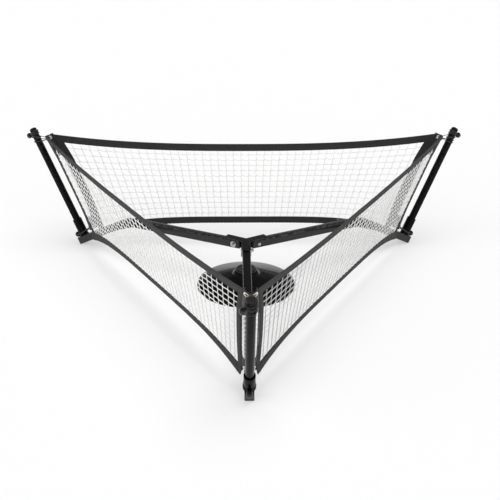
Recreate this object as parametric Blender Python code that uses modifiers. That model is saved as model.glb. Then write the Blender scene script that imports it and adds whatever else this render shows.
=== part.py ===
"""Rebounder net: three tilted net panels held between three posts on a bolted steel tripod.

Metres, +Z up, origin on the floor under the hub, the front corner towards -Y.
Each corner is modelled once, with +X pointing out along its arm, and placed three times.
Each panel is modelled once, in the plane of its net, and placed three times.
"""

import math

import bmesh
import bpy
from mathutils import Matrix, Vector

GAP = 0.0003

# The corners and the panels between them, by their direction from the hub
CORNERS = {"front": -90, "back_right": 30, "back_left": 150}
PANELS = {"back": 90, "left": 210, "right": 330}

# Arm: a bent square tube that falls gently from the hub, then steeply to the floor
TUBE = 0.030
TUBE_WALL = 0.002
HUB_Z = 0.1653
RUN_SLOPE = math.radians(2)
ARM_INNER_R = 0.022
SLOPE = math.radians(28.5)
FOOT_R = 0.770
BEND_R = 0.130
BEND_STEPS = 8
BORE_PAST = 0.010
PLUG_HEAD = 0.003
PLUG_LENGTH = 0.018
PLUG_OVERLAP = 0.001

# Hub: a plate over the arms, a socket for the stem and a stub inside each arm
PLATE_WIDTH = 0.032
PLATE_REACH = 0.086
PLATE_THICK = 0.0035
HUB_SOCKET_R = 0.019
HUB_SOCKET_BOTTOM = 0.120
STUB_LENGTH = 0.060
STUB_INNER_R = 0.0198
BOLT_R = 0.046
BOLT_SHANK = 0.004
BOLT_HOLE = 0.0043
BOLT_HEAD_R = 0.0072
BOLT_HEAD = 0.005
WASHER_R = 0.011
WASHER_THICK = 0.0016
NUT_R = 0.0075
NUT_THICK = 0.0065
BOLT_END = 0.0035

# Post: a round tube square to the arm's sloping run, standing in a short socket
POST_INSET = 0.031
POST_R = 0.014
POST_WALL = 0.0015
POST_FROM = 0.001
POST_LENGTH = 0.470
CAP_HEAD = 0.0045
CAP_DEPTH = 0.016
CAP_ROUNDING = (65, 40, 18, 0)
SOCKET_R = 0.01825
SOCKET_BORE = 0.0146
SOCKET_LENGTH = 0.072

# Net: the panels' corner lines, as radius and height, and the bowed edges between them
CORNER_TOP = (0.880, 0.440)
CORNER_BOTTOM = (0.676, 0.055)
HALF_STRIP = 0.027
GATHER_TOP = 0.014
GATHER_TOP_SPAN = 0.25
GATHER_BOTTOM = 0.017
GATHER_BOTTOM_SPAN = 0.34
GATHER_POWER = 1.5
TOP_SAG = {"back": 0.038, "left": 0.032, "right": 0.027}
TOP_POWER = 2.6
BOTTOM_RISE = 0.042
BOTTOM_POWER = 4.2
TOP_BAND = 0.028
BOTTOM_BAND = 0.025
SIDE_BAND = 0.021
BAND_THICK = 0.0032
MESH_THICK = 0.003
STRAND = 0.005
MESH_COLUMNS = 15
MESH_ROWS = 4
EDGE_STEPS = 24
SIDE_STEPS = 8

# Corner strip: the net between two panels, bulging towards the post
STRIP_BULGE = 0.019
STRIP_CLEAR = 0.0025
STRIP_THICK = 0.002
STRIP_ROWS = 8
STRIP_COLUMNS = 10
STRIP_FROM = 0.0295
STRIP_PAST_TOP = 0.008
EYELET_APART = 0.0107
EYELET_HOLE = 0.005
EYELET_IN = 0.011

# Elastic loops, each from two eyelets round the post to a ball
CORD_R = 0.0013
CORD_STEP = math.radians(24)
CORD_BEFORE = 0.008
CORD_THROUGH = 0.001
CORD_BEHIND = (0.007, 0.8)
CORD_MIDDLE = 0.0015
BALL_R = 0.0112
BALL_OUT = 0.0318
CORD_CLEAR = 0.0006
LOOP_TOP = 0.453
LOOP_BOTTOM = 0.0115
BALL_SWING = {"front": -43, "back_right": 0, "back_left": 0}

# Base: a weighted dome with the stem held by a screwed ring
BASE_R = 0.183
BASE_LIP = 0.0006
SHELL_THICK = 0.003
COLLAR_OUTER = [(0.043, 0.060), (0.0475, 0.0545), (0.0508, 0.049)]
COLLAR_INNER = [(0.0478, 0.0465), (0.040, 0.0565)]
COLLAR_TOP_R = 0.040
DOME_INNER = (0.0525, 0.0475)
DOME_OUTER = (0.170, 0.0165)
DOME_POWER = 1.25
DOME_STEPS = 5
SHOULDER_OUTER = [(0.179, 0.0125), (BASE_R, 0.008), (BASE_R, BASE_LIP)]
SHOULDER_INNER = [(BASE_R - SHELL_THICK, BASE_LIP), (BASE_R - SHELL_THICK, 0.0065), (0.177, 0.0095)]
BALLAST_BELOW = 0.0065
BALLAST_EDGE = [(0.168, 0.0095), (0.172, 0.0075)]
PLATE_R = 0.1795
PLATE_H = 0.003
STEM_R = 0.014
STEM_WALL = 0.002
STEM_TOP = 0.171
STEM_HOLE = 0.0144
KNOB_R = 0.039
KNOB_BOTTOM = 0.0623
KNOB_TOP = 0.0715
KNOB_EDGE = [(0.030, 0), (0.036, 0.001), (KNOB_R, 0.004)]

# Sides of the round pieces
BASE_SIDES = 36
STEM_SIDES = 24
POST_SIDES = 20
BOLT_SIDES = 16
EYELET_SIDES = 12
SHARP = math.radians(35)
WELD = 0.000001

# Where the foot ends and where the post's axis meets the top of the arm
ALONG = Vector((math.cos(SLOPE), 0, -math.sin(SLOPE)))
ACROSS = Vector((math.sin(SLOPE), 0, math.cos(SLOPE)))
FOOT_CORNER = Vector((FOOT_R, 0, 0))
FOOT_CENTRE = FOOT_CORNER + ACROSS * TUBE / 2
POST_FOOT = FOOT_CORNER + ACROSS * TUBE - ALONG * POST_INSET
PLATE_BOTTOM = HUB_Z + TUBE / 2


def clear_scene():
    for obj in list(bpy.data.objects):
        bpy.data.objects.remove(obj, do_unlink=True)


def collection(name):
    made = bpy.data.collections.new(name)
    bpy.context.scene.collection.children.link(made)
    return made


def principled(name, colour, roughness, metallic=0.0):
    material = bpy.data.materials.new(name)
    material.use_nodes = True
    shader = material.node_tree.nodes["Principled BSDF"]
    shader.inputs["Base Color"].default_value = (*colour, 1)
    shader.inputs["Roughness"].default_value = roughness
    shader.inputs["Metallic"].default_value = metallic
    return material


def empty(name, parent=None, location=(0, 0, 0), rotation=(0, 0, 0)):
    obj = bpy.data.objects.new(name, None)
    obj.location = location
    obj.rotation_euler = rotation
    obj.parent = parent
    parts.objects.link(obj)
    return obj


def piece(name, data, material, parent=None, location=(0, 0, 0), rotation=(0, 0, 0)):
    """A named part from a mesh or a curve, placed under its parent."""
    if not data.materials:
        data.materials.append(material)
    obj = bpy.data.objects.new(name, data)
    obj.location = location
    obj.rotation_euler = rotation
    obj.parent = parent
    parts.objects.link(obj)
    return obj


def helper(name, data):
    """A cutter or a first shape, in the cutters' collection and left out of the render."""
    obj = bpy.data.objects.new(name, data)
    obj.hide_render = True
    obj.display_type = "WIRE"
    cutters.objects.link(obj)
    return obj


def baked(obj):
    """The shape of a helper with its modifiers, as a welded mesh; the helper is removed."""
    bpy.context.view_layer.update()
    evaluated = obj.evaluated_get(bpy.context.evaluated_depsgraph_get())
    mesh = bpy.data.meshes.new_from_object(evaluated)
    mesh.transform(obj.matrix_world)
    work = bmesh.new()
    work.from_mesh(mesh)
    bmesh.ops.remove_doubles(work, verts=work.verts, dist=WELD)
    bmesh.ops.recalc_face_normals(work, faces=work.faces)
    work.to_mesh(mesh)
    work.free()
    bpy.data.objects.remove(obj)
    mesh.shade_smooth()
    mesh.set_sharp_from_angle(angle=SHARP)
    return mesh


def flat(name, outlines, thickness):
    """A flat plate from closed outlines in XY; an outline inside another is a hole."""
    curve = bpy.data.curves.new(name, "CURVE")
    curve.dimensions = "2D"
    curve.fill_mode = "BOTH"
    curve.extrude = thickness / 2
    for outline in outlines:
        spline = curve.splines.new("POLY")
        spline.points.add(len(outline) - 1)
        for point, (x, y) in zip(spline.points, outline):
            point.co = (x, y, 0, 1)
        spline.use_cyclic_u = True
    return curve


def turned(name, profile, steps):
    """A round solid about Z from a profile of (radius, height), closed if it stays off the axis."""
    mesh = bpy.data.meshes.new(name)
    on_axis = profile[0][0] == 0
    edges = [(i, i + 1) for i in range(len(profile) - 1)]
    if not on_axis:
        edges.append((len(profile) - 1, 0))
    mesh.from_pydata([(r, 0, z) for r, z in profile], edges, [])
    obj = helper(name, mesh)
    screw = obj.modifiers.new("Turn", "SCREW")
    screw.steps = screw.render_steps = steps
    screw.use_merge_vertices = True
    screw.merge_threshold = 10 * WELD
    return baked(obj)


def ring(name, inner, outer, bottom, top, steps):
    return turned(name, [(outer, top), (outer, bottom), (inner, bottom), (inner, top)], steps)


def box(name, size, centre):
    work = bmesh.new()
    bmesh.ops.create_cube(work, size=1)
    bmesh.ops.scale(work, vec=size, verts=work.verts)
    bmesh.ops.translate(work, vec=centre, verts=work.verts)
    mesh = bpy.data.meshes.new(name)
    work.to_mesh(mesh)
    work.free()
    return helper(name, mesh)


def rod(name, radius, length, axis, centre, sides=BOLT_SIDES):
    work = bmesh.new()
    turn = Vector((0, 0, 1)).rotation_difference(Vector(axis)).to_matrix().to_4x4()
    bmesh.ops.create_cone(
        work,
        cap_ends=True,
        segments=sides,
        radius1=radius,
        radius2=radius,
        depth=length,
        matrix=Matrix.Translation(centre) @ turn,
    )
    mesh = bpy.data.meshes.new(name)
    work.to_mesh(mesh)
    work.free()
    return helper(name, mesh)


def combine(obj, other, operation):
    change = obj.modifiers.new(operation.title(), "BOOLEAN")
    change.operation = operation
    change.object = other
    return obj


def cut(name, mesh, tools):
    """The mesh with each tool taken away."""
    obj = helper(name, mesh)
    for tool in tools:
        combine(obj, tool, "DIFFERENCE")
    result = baked(obj)
    for tool in tools:
        bpy.data.objects.remove(tool)
    return result


def heading(angle):
    """The direction of a run that falls at an angle, as (radius, height)."""
    return Vector((math.cos(angle), -math.sin(angle)))


def upward(angle):
    return Vector((math.sin(angle), math.cos(angle)))


def arm_outline(half, from_r, past_end):
    """The side view of the arm, half wide each way about its centreline, as (radius, height)."""
    hub = Vector((0, HUB_Z))
    foot = Vector((FOOT_CENTRE.x, FOOT_CENTRE.z))
    fall = foot.y + foot.x * math.tan(SLOPE) - HUB_Z
    knee_r = fall / (math.tan(SLOPE) - math.tan(RUN_SLOPE))
    knee = Vector((knee_r, HUB_Z - knee_r * math.tan(RUN_SLOPE)))
    turn = SLOPE - RUN_SLOPE
    bend_from = knee - heading(RUN_SLOPE) * BEND_R * math.tan(turn / 2)
    centre = bend_from - upward(RUN_SLOPE) * BEND_R
    end = foot - heading(SLOPE) * (PLUG_HEAD + GAP - past_end)
    sides = []
    for side in (half, -half):
        line = [hub + heading(RUN_SLOPE) * from_r + upward(RUN_SLOPE) * side]
        for i in range(BEND_STEPS + 1):
            angle = RUN_SLOPE + turn * i / BEND_STEPS
            line.append(centre + upward(angle) * (BEND_R + side))
        line.append(end + upward(SLOPE) * side)
        sides.append([tuple(point) for point in line])
    return sides[0] + sides[1][::-1]


def upright(curve):
    """A side view turned from XY into the plane of the arm, as a mesh."""
    obj = helper(curve.name, curve)
    obj.rotation_euler.x = math.radians(90)
    return baked(obj)


def arm_mesh():
    outside = upright(flat("arm", [arm_outline(TUBE / 2, ARM_INNER_R, 0)], TUBE))
    inner = TUBE / 2 - TUBE_WALL
    bore = arm_outline(inner, ARM_INNER_R - BORE_PAST, BORE_PAST)
    inside = flat("arm_bore", [bore], 2 * inner)
    bolt_r, bolt_z = Vector((0, HUB_Z)) + heading(RUN_SLOPE) * BOLT_R
    bolt_way = rod("bolt_way", BOLT_HOLE, 2 * TUBE, (0, 1, 0), (bolt_r, 0, bolt_z))
    return cut("arm", outside, [helper("arm_bore", upright(inside)), bolt_way])


def stub_mesh():
    """The square tube inside the arm's inner end, along X from the side of the stem's socket."""
    wide = TUBE - 2 * TUBE_WALL - 2 * GAP
    centre = (STUB_INNER_R + STUB_LENGTH / 2, 0, 0)
    outside = baked(box("stub", (STUB_LENGTH, wide, wide), centre))
    bore = wide - 2 * TUBE_WALL
    inside = box("stub_bore", (STUB_LENGTH + BORE_PAST, bore, bore), centre)
    bolt_way = rod("bolt_way", BOLT_HOLE, 2 * TUBE, (0, 1, 0), (BOLT_R, 0, 0))
    return cut("stub", outside, [inside, bolt_way])


def plug_mesh():
    """The end plug, with its outer face at z = 0 and its insert pointing down."""
    wide = TUBE - 2 * TUBE_WALL - 2 * GAP
    insert = PLUG_LENGTH + PLUG_OVERLAP
    head = box("plug", (TUBE, TUBE, PLUG_HEAD), (0, 0, -PLUG_HEAD / 2))
    middle = PLUG_OVERLAP - PLUG_HEAD - insert / 2
    shaft = box("plug_insert", (wide, wide, insert), (0, 0, middle))
    mesh = baked(combine(head, shaft, "UNION"))
    bpy.data.objects.remove(shaft)
    return mesh


def hub_outline():
    """The three-armed plate: two corners at the end of each arm and one between each two arms."""
    points = []
    half = PLATE_WIDTH / 2
    for angle in sorted(CORNERS.values()):
        out = Vector((math.cos(math.radians(angle)), math.sin(math.radians(angle))))
        side = Vector((-out.y, out.x))
        notch = math.radians(angle + 60)
        reach = half / math.sin(math.radians(60))
        points += [tuple(out * PLATE_REACH - side * half), tuple(out * PLATE_REACH + side * half)]
        points.append((reach * math.cos(notch), reach * math.sin(notch)))
    return points


def hub(steel):
    plate = flat("hub_plate", [hub_outline()], PLATE_THICK)
    piece("hub_plate", plate, steel, location=(0, 0, PLATE_BOTTOM + PLATE_THICK / 2))
    top = PLATE_BOTTOM - GAP
    socket = ring("hub_socket", STEM_R + GAP, HUB_SOCKET_R, HUB_SOCKET_BOTTOM, top, STEM_SIDES)
    piece("hub_socket", socket, steel)


def bolt_mesh():
    """A domed bolt along Z, with the underside of its head at z = 0."""
    end = TUBE + 2 * GAP + WASHER_THICK + NUT_THICK + GAP + BOLT_END
    profile = [(0, end), (BOLT_SHANK, end), (BOLT_SHANK, 0), (BOLT_HEAD_R, 0)]
    profile += [(BOLT_HEAD_R, -0.6 * BOLT_HEAD), (0.7 * BOLT_HEAD_R, -BOLT_HEAD), (0, -BOLT_HEAD)]
    return turned("bolt", profile, BOLT_SIDES)


def nut_curve():
    def circle(radius, sides):
        turns = [2 * math.pi * i / sides for i in range(sides)]
        return [(radius * math.cos(a), radius * math.sin(a)) for a in turns]

    return flat("nut", [circle(NUT_R, 6), circle(BOLT_HOLE, BOLT_SIDES)], NUT_THICK)


def panel_height():
    return math.hypot(
        CORNER_TOP[1] - CORNER_BOTTOM[1],
        (CORNER_TOP[0] - CORNER_BOTTOM[0]) / 2,
    )


def half_width(s):
    """Half the panel's width at a height s up its plane, between its two corner lines."""
    bottom, top = (math.sqrt(3) / 2 * r - HALF_STRIP / 2 for r, _ in (CORNER_BOTTOM, CORNER_TOP))
    return bottom + (top - bottom) * s / panel_height()


def gather(k):
    """How far the webbing's outer edge reaches past the panel's side, at a fraction k of its height."""
    above = max(0, (k - 1) / GATHER_TOP_SPAN + 1)
    below = max(0, 1 - k / GATHER_BOTTOM_SPAN)
    return GATHER_TOP * above**GATHER_POWER + GATHER_BOTTOM * below**GATHER_POWER


def outer_half(s):
    return half_width(s) + gather(s / panel_height())


def across(steps=EDGE_STEPS):
    return [2 * i / steps - 1 for i in range(steps + 1)]


class Sheet:
    """One panel of the net in its own plane, from its bottom edge at y = 0, with a sagging top edge."""

    def __init__(self, sag):
        self.sag = sag

    def top_edge(self, w):
        """The height of the top edge at a distance w from the panel's middle."""
        return panel_height() - self.sag * (1 - (abs(w) / half_width(panel_height())) ** TOP_POWER)

    def bottom_edge(self, w):
        return BOTTOM_RISE * (1 - min(1, abs(w) / half_width(0)) ** BOTTOM_POWER)

    def under_top(self, t, down, reach):
        """A point below the top edge, t from -1 to 1 across the width that reach gives at its height."""
        w, s = 0.0, panel_height()
        for _ in range(8):
            w = t * reach(s)
            s = self.top_edge(w) - down
        return w, s

    def over_bottom(self, t, up, reach):
        w, s = 0.0, 0.0
        for _ in range(8):
            w = t * reach(s)
            s = self.bottom_edge(w) + up
        return w, s

    def top_webbing(self):
        upper = [self.under_top(t, 0, outer_half) for t in across()]
        lower = [self.under_top(t, TOP_BAND, outer_half) for t in across()]
        return flat("top_webbing", [upper + lower[::-1]], BAND_THICK)

    def u_line(self, up, reach):
        """Down one side from the top webbing, along the bottom and up the other side."""
        below = [self.over_bottom(t, up, reach) for t in across()]
        top_s = self.under_top(1, TOP_BAND + GAP, reach)[1]
        low_s = below[0][1]
        heights = [top_s + (low_s - top_s) * i / SIDE_STEPS for i in range(SIDE_STEPS)]
        left = [(-reach(s), s) for s in heights]
        right = [(reach(s), s) for s in heights[::-1]]
        return left + below + right

    def lower_webbing(self):
        """The webbing along the bottom and up both sides, to just under the top webbing."""
        outer = self.u_line(0, outer_half)
        inner = self.u_line(BOTTOM_BAND, lambda s: half_width(s) - SIDE_BAND)
        return flat("lower_webbing", [outer + inner[::-1]], BAND_THICK)

    def mesh_point(self, t, v):
        """A point of the netting: t from -1 to 1 across it and v from 0 to 1 up it."""

        def reach(s):
            return half_width(s) - SIDE_BAND - GAP

        low = Vector(self.over_bottom(t, BOTTOM_BAND + GAP, reach))
        high = Vector(self.under_top(t, TOP_BAND + GAP, reach))
        return tuple(low.lerp(high, v))

    def netting(self):
        """A flat sheet with rows of six-sided gaps that follow its bowed edges."""
        edge = [self.mesh_point(t, 0) for t in across()]
        edge += [self.mesh_point(t, 1) for t in across()[::-1]]
        outlines = [edge]
        wide, high = 2 / (MESH_COLUMNS + 0.5), 1 / (MESH_ROWS + 1 / 3)
        corners = ((0, 2 / 3), (0.5, 1 / 3), (0.5, -1 / 3), (0, -2 / 3), (-0.5, -1 / 3), (-0.5, 1 / 3))
        pitch = half_width(panel_height() / 2) * wide
        shrink = 1 - STRAND / pitch
        for row in range(MESH_ROWS):
            for column in range(MESH_COLUMNS):
                t = -1 + wide * (column + 0.5 + 0.5 * (row % 2))
                v = high * (row + 2 / 3)
                gap = [self.mesh_point(t + shrink * wide * x, v + shrink * high * y) for x, y in corners]
                outlines.append(gap)
        return flat("net", outlines, MESH_THICK)


def strip_place(distance):
    """The middle of the strip's chord and half its length, at a distance up the corner line."""
    extra = gather(distance / corner_length())
    foot = Vector((CORNER_BOTTOM[0], 0, CORNER_BOTTOM[1]))
    middle = foot + corner_lean() * distance + Vector((math.sqrt(3) / 2 * extra, 0, 0))
    return middle, HALF_STRIP - extra / 2 - STRIP_CLEAR


def strip_out(half_chord, aside):
    """How far the strip stands out from its chord, aside from its middle."""
    bend = (half_chord**2 + STRIP_BULGE**2) / (2 * STRIP_BULGE)
    return STRIP_BULGE - bend + math.sqrt(max(0, bend**2 - aside**2))


def strip_outward():
    lean = corner_lean()
    return Vector((lean.z, 0, -lean.x))


def strip_mesh():
    """The curved strip of netting along a corner line, with two eyelet holes at each end."""
    to_d = corner_length() + STRIP_PAST_TOP
    work = bmesh.new()
    rows = []
    for j in range(STRIP_ROWS + 1):
        middle, half_chord = strip_place(STRIP_FROM + (to_d - STRIP_FROM) * j / STRIP_ROWS)
        bend = (half_chord**2 + STRIP_BULGE**2) / (2 * STRIP_BULGE)
        sweep = math.atan2(half_chord, bend - STRIP_BULGE)
        row = []
        for i in range(STRIP_COLUMNS + 1):
            turn = sweep * (2 * i / STRIP_COLUMNS - 1)
            out = STRIP_BULGE - bend + bend * math.cos(turn)
            place = middle + strip_outward() * out + Vector((0, bend * math.sin(turn), 0))
            row.append(work.verts.new(place))
        rows.append(row)
    for low, high in zip(rows, rows[1:]):
        for i in range(STRIP_COLUMNS):
            work.faces.new((low[i], low[i + 1], high[i + 1], high[i]))
    mesh = bpy.data.meshes.new("strip")
    work.to_mesh(mesh)
    work.free()
    sheet = helper("strip", mesh)
    shell = sheet.modifiers.new("Thick", "SOLIDIFY")
    shell.thickness = STRIP_THICK
    shell.offset = 0
    holes = []
    for end in (0, 1):
        for side in (-1, 1):
            centre = eyelet(end, side)
            hole = rod("eyelet_hole", EYELET_HOLE, 0.02, strip_outward(), centre, EYELET_SIDES)
            holes.append(hole)
    return cut("strip", baked(sheet), holes)


def corner_length():
    return math.dist(CORNER_TOP, CORNER_BOTTOM)


def corner_lean():
    """The direction of a corner line, up and out."""
    rise = Vector((CORNER_TOP[0] - CORNER_BOTTOM[0], 0, CORNER_TOP[1] - CORNER_BOTTOM[1]))
    return rise.normalized()


def to_post(point):
    """A point of the corner's frame in the post's frame: out from its axis, aside and along it."""
    rel = Vector(point) - POST_FOOT
    return Vector((rel.dot(ALONG), rel.y, rel.dot(ACROSS)))


def eyelet(end, side):
    """The middle of an eyelet; end 0 is the bottom pair and 1 the top pair."""
    distance = corner_length() + STRIP_PAST_TOP - EYELET_IN if end else STRIP_FROM + EYELET_IN
    middle, half_chord = strip_place(distance)
    point = middle + strip_outward() * strip_out(half_chord, EYELET_APART)
    point.y = side * EYELET_APART
    return point


def loop_points(end, swing):
    """Half the loop on each side: from the ball, round the post, through an eyelet and back."""
    radius = (POST_R if end else SOCKET_R) + CORD_R + CORD_CLEAR
    height = LOOP_TOP if end else LOOP_BOTTOM
    halves = []
    for side in (1, -1):
        hole = to_post(eyelet(end, side))
        leave = math.atan2(side * hole.y, hole.x) - math.acos(radius / math.hypot(hole.x, hole.y))
        start = side * swing + CORD_STEP
        steps = max(2, round((leave - start) / CORD_STEP))
        ball = Vector((BALL_OUT * math.cos(side * swing), BALL_OUT * math.sin(side * swing)))
        wrap = []
        for i in range(steps + 1):
            a = start + (leave - start) * i / steps
            wrap.append(Vector((radius * math.cos(a), radius * math.sin(a))))
        towards = (wrap[0] - ball).normalized()
        flat_way = [ball + towards * (BALL_R + GAP)] + wrap
        half = [Vector((p.x, side * p.y, height)) for p in flat_way]
        before = Vector((hole.x + CORD_BEFORE, hole.y, hole.z))
        last = half[-1]
        half += [last.lerp(before, 1 / 3), last.lerp(before, 2 / 3), before]
        half.append(Vector((hole.x - CORD_THROUGH, hole.y, hole.z)))
        behind, narrower = CORD_BEHIND
        half.append(Vector((hole.x - behind, narrower * hole.y, hole.z)))
        halves.append(half)
    middle = Vector((halves[0][-1].x - CORD_MIDDLE, 0, halves[0][-1].z))
    return halves[0] + [middle] + halves[1][::-1]


def loop_curve(end, swing):
    curve = bpy.data.curves.new("loop", "CURVE")
    curve.dimensions = "3D"
    curve.bevel_depth = CORD_R
    curve.bevel_resolution = 1
    curve.use_fill_caps = True
    spline = curve.splines.new("POLY")
    points = loop_points(end, swing)
    spline.points.add(len(points) - 1)
    for point, place in zip(spline.points, points):
        point.co = (*place, 1)
    return curve


def ball_mesh():
    work = bmesh.new()
    bmesh.ops.create_uvsphere(work, u_segments=12, v_segments=8, radius=BALL_R)
    mesh = bpy.data.meshes.new("ball")
    work.to_mesh(mesh)
    work.free()
    mesh.shade_smooth()
    return mesh


def post_meshes():
    """The post and its cap, along Z with the top of the arm at z = 0."""
    end = POST_FROM + POST_LENGTH
    post = ring("post", POST_R - POST_WALL, POST_R, POST_FROM, end, POST_SIDES)
    inside = POST_R - POST_WALL - GAP
    profile = [(0, end + CAP_HEAD)]
    for angle in map(math.radians, CAP_ROUNDING):
        profile.append((inside * math.cos(angle), end + CAP_HEAD * math.sin(angle)))
    profile += [(inside, end - CAP_DEPTH), (0, end - CAP_DEPTH)]
    return post, turned("post_cap", profile, POST_SIDES)


def corner(name, angle, shared, kinds):
    """One corner: its arm and bolt, its socket, post, corner strip and two elastic loops."""
    at = empty(f"corner_{name}", rotation=(0, 0, math.radians(angle)))
    metal, steel, plastic, cloth, cord = kinds
    piece(f"arm_{name}", shared["arm"], metal, at)
    run = empty(f"run_{name}", at, (0, 0, HUB_Z), (0, RUN_SLOPE, 0))
    piece(f"arm_stub_{name}", shared["stub"], metal, run)
    piece(f"arm_plug_{name}", shared["plug"], plastic, at, FOOT_CENTRE, (0, math.pi / 2 + SLOPE, 0))
    along_bolt = (-math.pi / 2, 0, 0)
    face = TUBE / 2 + GAP
    piece(f"bolt_{name}", shared["bolt"], steel, run, (BOLT_R, -face, 0), along_bolt)
    piece(f"washer_{name}", shared["washer"], steel, run, (BOLT_R, face, 0), along_bolt)
    nut_at = face + WASHER_THICK + GAP + NUT_THICK / 2
    piece(f"nut_{name}", shared["nut"], steel, run, (BOLT_R, nut_at, 0), along_bolt)

    stand = empty(f"post_axis_{name}", at, POST_FOOT, (0, SLOPE, 0))
    piece(f"post_socket_{name}", shared["socket"], metal, stand)
    piece(f"post_{name}", shared["post"], metal, stand)
    piece(f"post_cap_{name}", shared["cap"], plastic, stand)

    piece(f"corner_strip_{name}", shared["strip"], cloth, at)
    for end, word in enumerate(("bottom", "top")):
        swing = math.radians(BALL_SWING[name]) if end else 0.0
        height = LOOP_TOP if end else LOOP_BOTTOM
        piece(f"loop_{word}_{name}", loop_curve(end, swing), cord, stand)
        ball_at = (BALL_OUT * math.cos(swing), BALL_OUT * math.sin(swing), height)
        piece(f"ball_{word}_{name}", shared["ball"], plastic, stand, ball_at)


def panel(name, angle, netting, webbing):
    """One side of the net, in a frame with X across it, Y up its plane and Z facing out."""
    away = [r / 2 + math.sqrt(3) / 2 * HALF_STRIP for r, _ in (CORNER_BOTTOM, CORNER_TOP)]
    tilt = math.atan2(away[1] - away[0], CORNER_TOP[1] - CORNER_BOTTOM[1])
    at = empty(f"side_{name}", rotation=(0, 0, math.radians(angle - 90)))
    sheet = empty(f"sheet_{name}", at, (0, away[0], CORNER_BOTTOM[1]), (math.pi / 2 - tilt, 0, 0))
    made = Sheet(TOP_SAG[name])
    piece(f"net_{name}", made.netting(), netting, sheet)
    piece(f"top_webbing_{name}", made.top_webbing(), webbing, sheet)
    piece(f"lower_webbing_{name}", made.lower_webbing(), webbing, sheet)


def dome(lift):
    """The dome's slope from its collar out to its shoulder, raised or lowered by lift."""
    (r0, z0), (r1, z1) = DOME_INNER, DOME_OUTER
    steps = [i / DOME_STEPS for i in range(DOME_STEPS + 1)]
    return [(r0 + (r1 - r0) * k, z0 + (z1 - z0) * k**DOME_POWER + lift) for k in steps]


def base(plastic, ballast, metal):
    top = KNOB_BOTTOM - GAP
    outer = [(COLLAR_TOP_R, top)] + COLLAR_OUTER + dome(0) + SHOULDER_OUTER
    inner = SHOULDER_INNER + dome(-SHELL_THICK)[::-1] + COLLAR_INNER
    hole = [(r, top - SHELL_THICK) for r in (COLLAR_INNER[-1][0], STEM_HOLE)] + [(STEM_HOLE, top)]
    piece("base_shell", turned("base_shell", outer + inner + hole, BASE_SIDES), plastic)

    floor = PLATE_H + GAP
    slope = dome(-BALLAST_BELOW)[:-1]
    under = [(STEM_HOLE, slope[0][1])] + slope + BALLAST_EDGE
    under += [(BALLAST_EDGE[-1][0], floor), (STEM_HOLE, floor)]
    piece("base_weight", turned("base_weight", under, STEM_SIDES), ballast)

    plate = [(0, PLATE_H), (PLATE_R, PLATE_H), (PLATE_R, 0), (0, 0)]
    piece("base_bottom", turned("base_bottom", plate, BASE_SIDES), plastic)
    stem = ring("stem", STEM_R - STEM_WALL, STEM_R, floor, STEM_TOP, STEM_SIDES)
    piece("stem", stem, metal)

    knob = [(r, KNOB_TOP - down) for r, down in KNOB_EDGE]
    knob += [(KNOB_R, KNOB_BOTTOM), (STEM_HOLE, KNOB_BOTTOM), (STEM_HOLE, KNOB_TOP)]
    piece("stem_knob", turned("stem_knob", knob, STEM_SIDES), plastic)


def main():
    clear_scene()
    metal = principled("black_painted_steel", (0.035, 0.035, 0.036), 0.45)
    gloss = principled("black_post_paint", (0.018, 0.018, 0.018), 0.22)
    steel = principled("zinc_steel", (0.62, 0.62, 0.60), 0.3, 1.0)
    plastic = principled("black_plastic", (0.02, 0.02, 0.02), 0.35)
    netting = principled("white_netting", (0.82, 0.82, 0.80), 0.8)
    webbing = principled("black_webbing", (0.035, 0.035, 0.038), 0.85)
    cord = principled("black_elastic", (0.02, 0.02, 0.02), 0.7)
    ballast = principled("grey_ballast", (0.25, 0.25, 0.24), 0.9)
    post, cap = post_meshes()
    shared = {
        "arm": arm_mesh(),
        "stub": stub_mesh(),
        "plug": plug_mesh(),
        "bolt": bolt_mesh(),
        "washer": ring("washer", BOLT_HOLE, WASHER_R, 0, WASHER_THICK, BOLT_SIDES),
        "nut": nut_curve(),
        "socket": ring("socket", SOCKET_BORE, SOCKET_R, GAP, SOCKET_LENGTH, POST_SIDES),
        "post": post,
        "cap": cap,
        "strip": strip_mesh(),
        "ball": ball_mesh(),
    }
    shared["post"].materials.append(gloss)
    shared["strip"].materials.append(netting)
    hub(metal)
    base(plastic, ballast, metal)
    for name, angle in CORNERS.items():
        corner(name, angle, shared, (metal, steel, plastic, webbing, cord))
    for name, angle in PANELS.items():
        panel(name, angle, netting, webbing)
    bpy.data.collections.remove(cutters)


parts = collection("rebounder_net")
cutters = collection("cutters")
main()
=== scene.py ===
"""Rebounder net: three net panels tied between three posts on a bolted steel tripod.

It is laid out as an add-on and run as a script. Each operator makes one kind of piece round the
fixed CAD frame, and the last one adds the floor, the light and the camera. Lengths are metres.
"""

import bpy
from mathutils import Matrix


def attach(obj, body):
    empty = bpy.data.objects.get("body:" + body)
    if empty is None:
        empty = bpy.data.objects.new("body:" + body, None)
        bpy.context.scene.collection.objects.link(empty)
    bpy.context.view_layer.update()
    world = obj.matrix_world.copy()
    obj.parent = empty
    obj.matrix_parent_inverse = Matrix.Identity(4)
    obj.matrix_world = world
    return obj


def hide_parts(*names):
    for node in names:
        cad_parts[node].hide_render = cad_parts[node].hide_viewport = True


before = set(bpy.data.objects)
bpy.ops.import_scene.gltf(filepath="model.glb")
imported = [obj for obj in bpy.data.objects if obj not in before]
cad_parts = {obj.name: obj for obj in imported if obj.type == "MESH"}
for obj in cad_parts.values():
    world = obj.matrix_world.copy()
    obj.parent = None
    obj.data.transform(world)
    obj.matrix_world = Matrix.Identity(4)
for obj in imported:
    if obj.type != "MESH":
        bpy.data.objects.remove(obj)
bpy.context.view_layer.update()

import math

import bpy
import numpy as np
from bpy.props import FloatProperty, FloatVectorProperty, IntProperty, PointerProperty
from mathutils import Matrix, Vector

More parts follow.
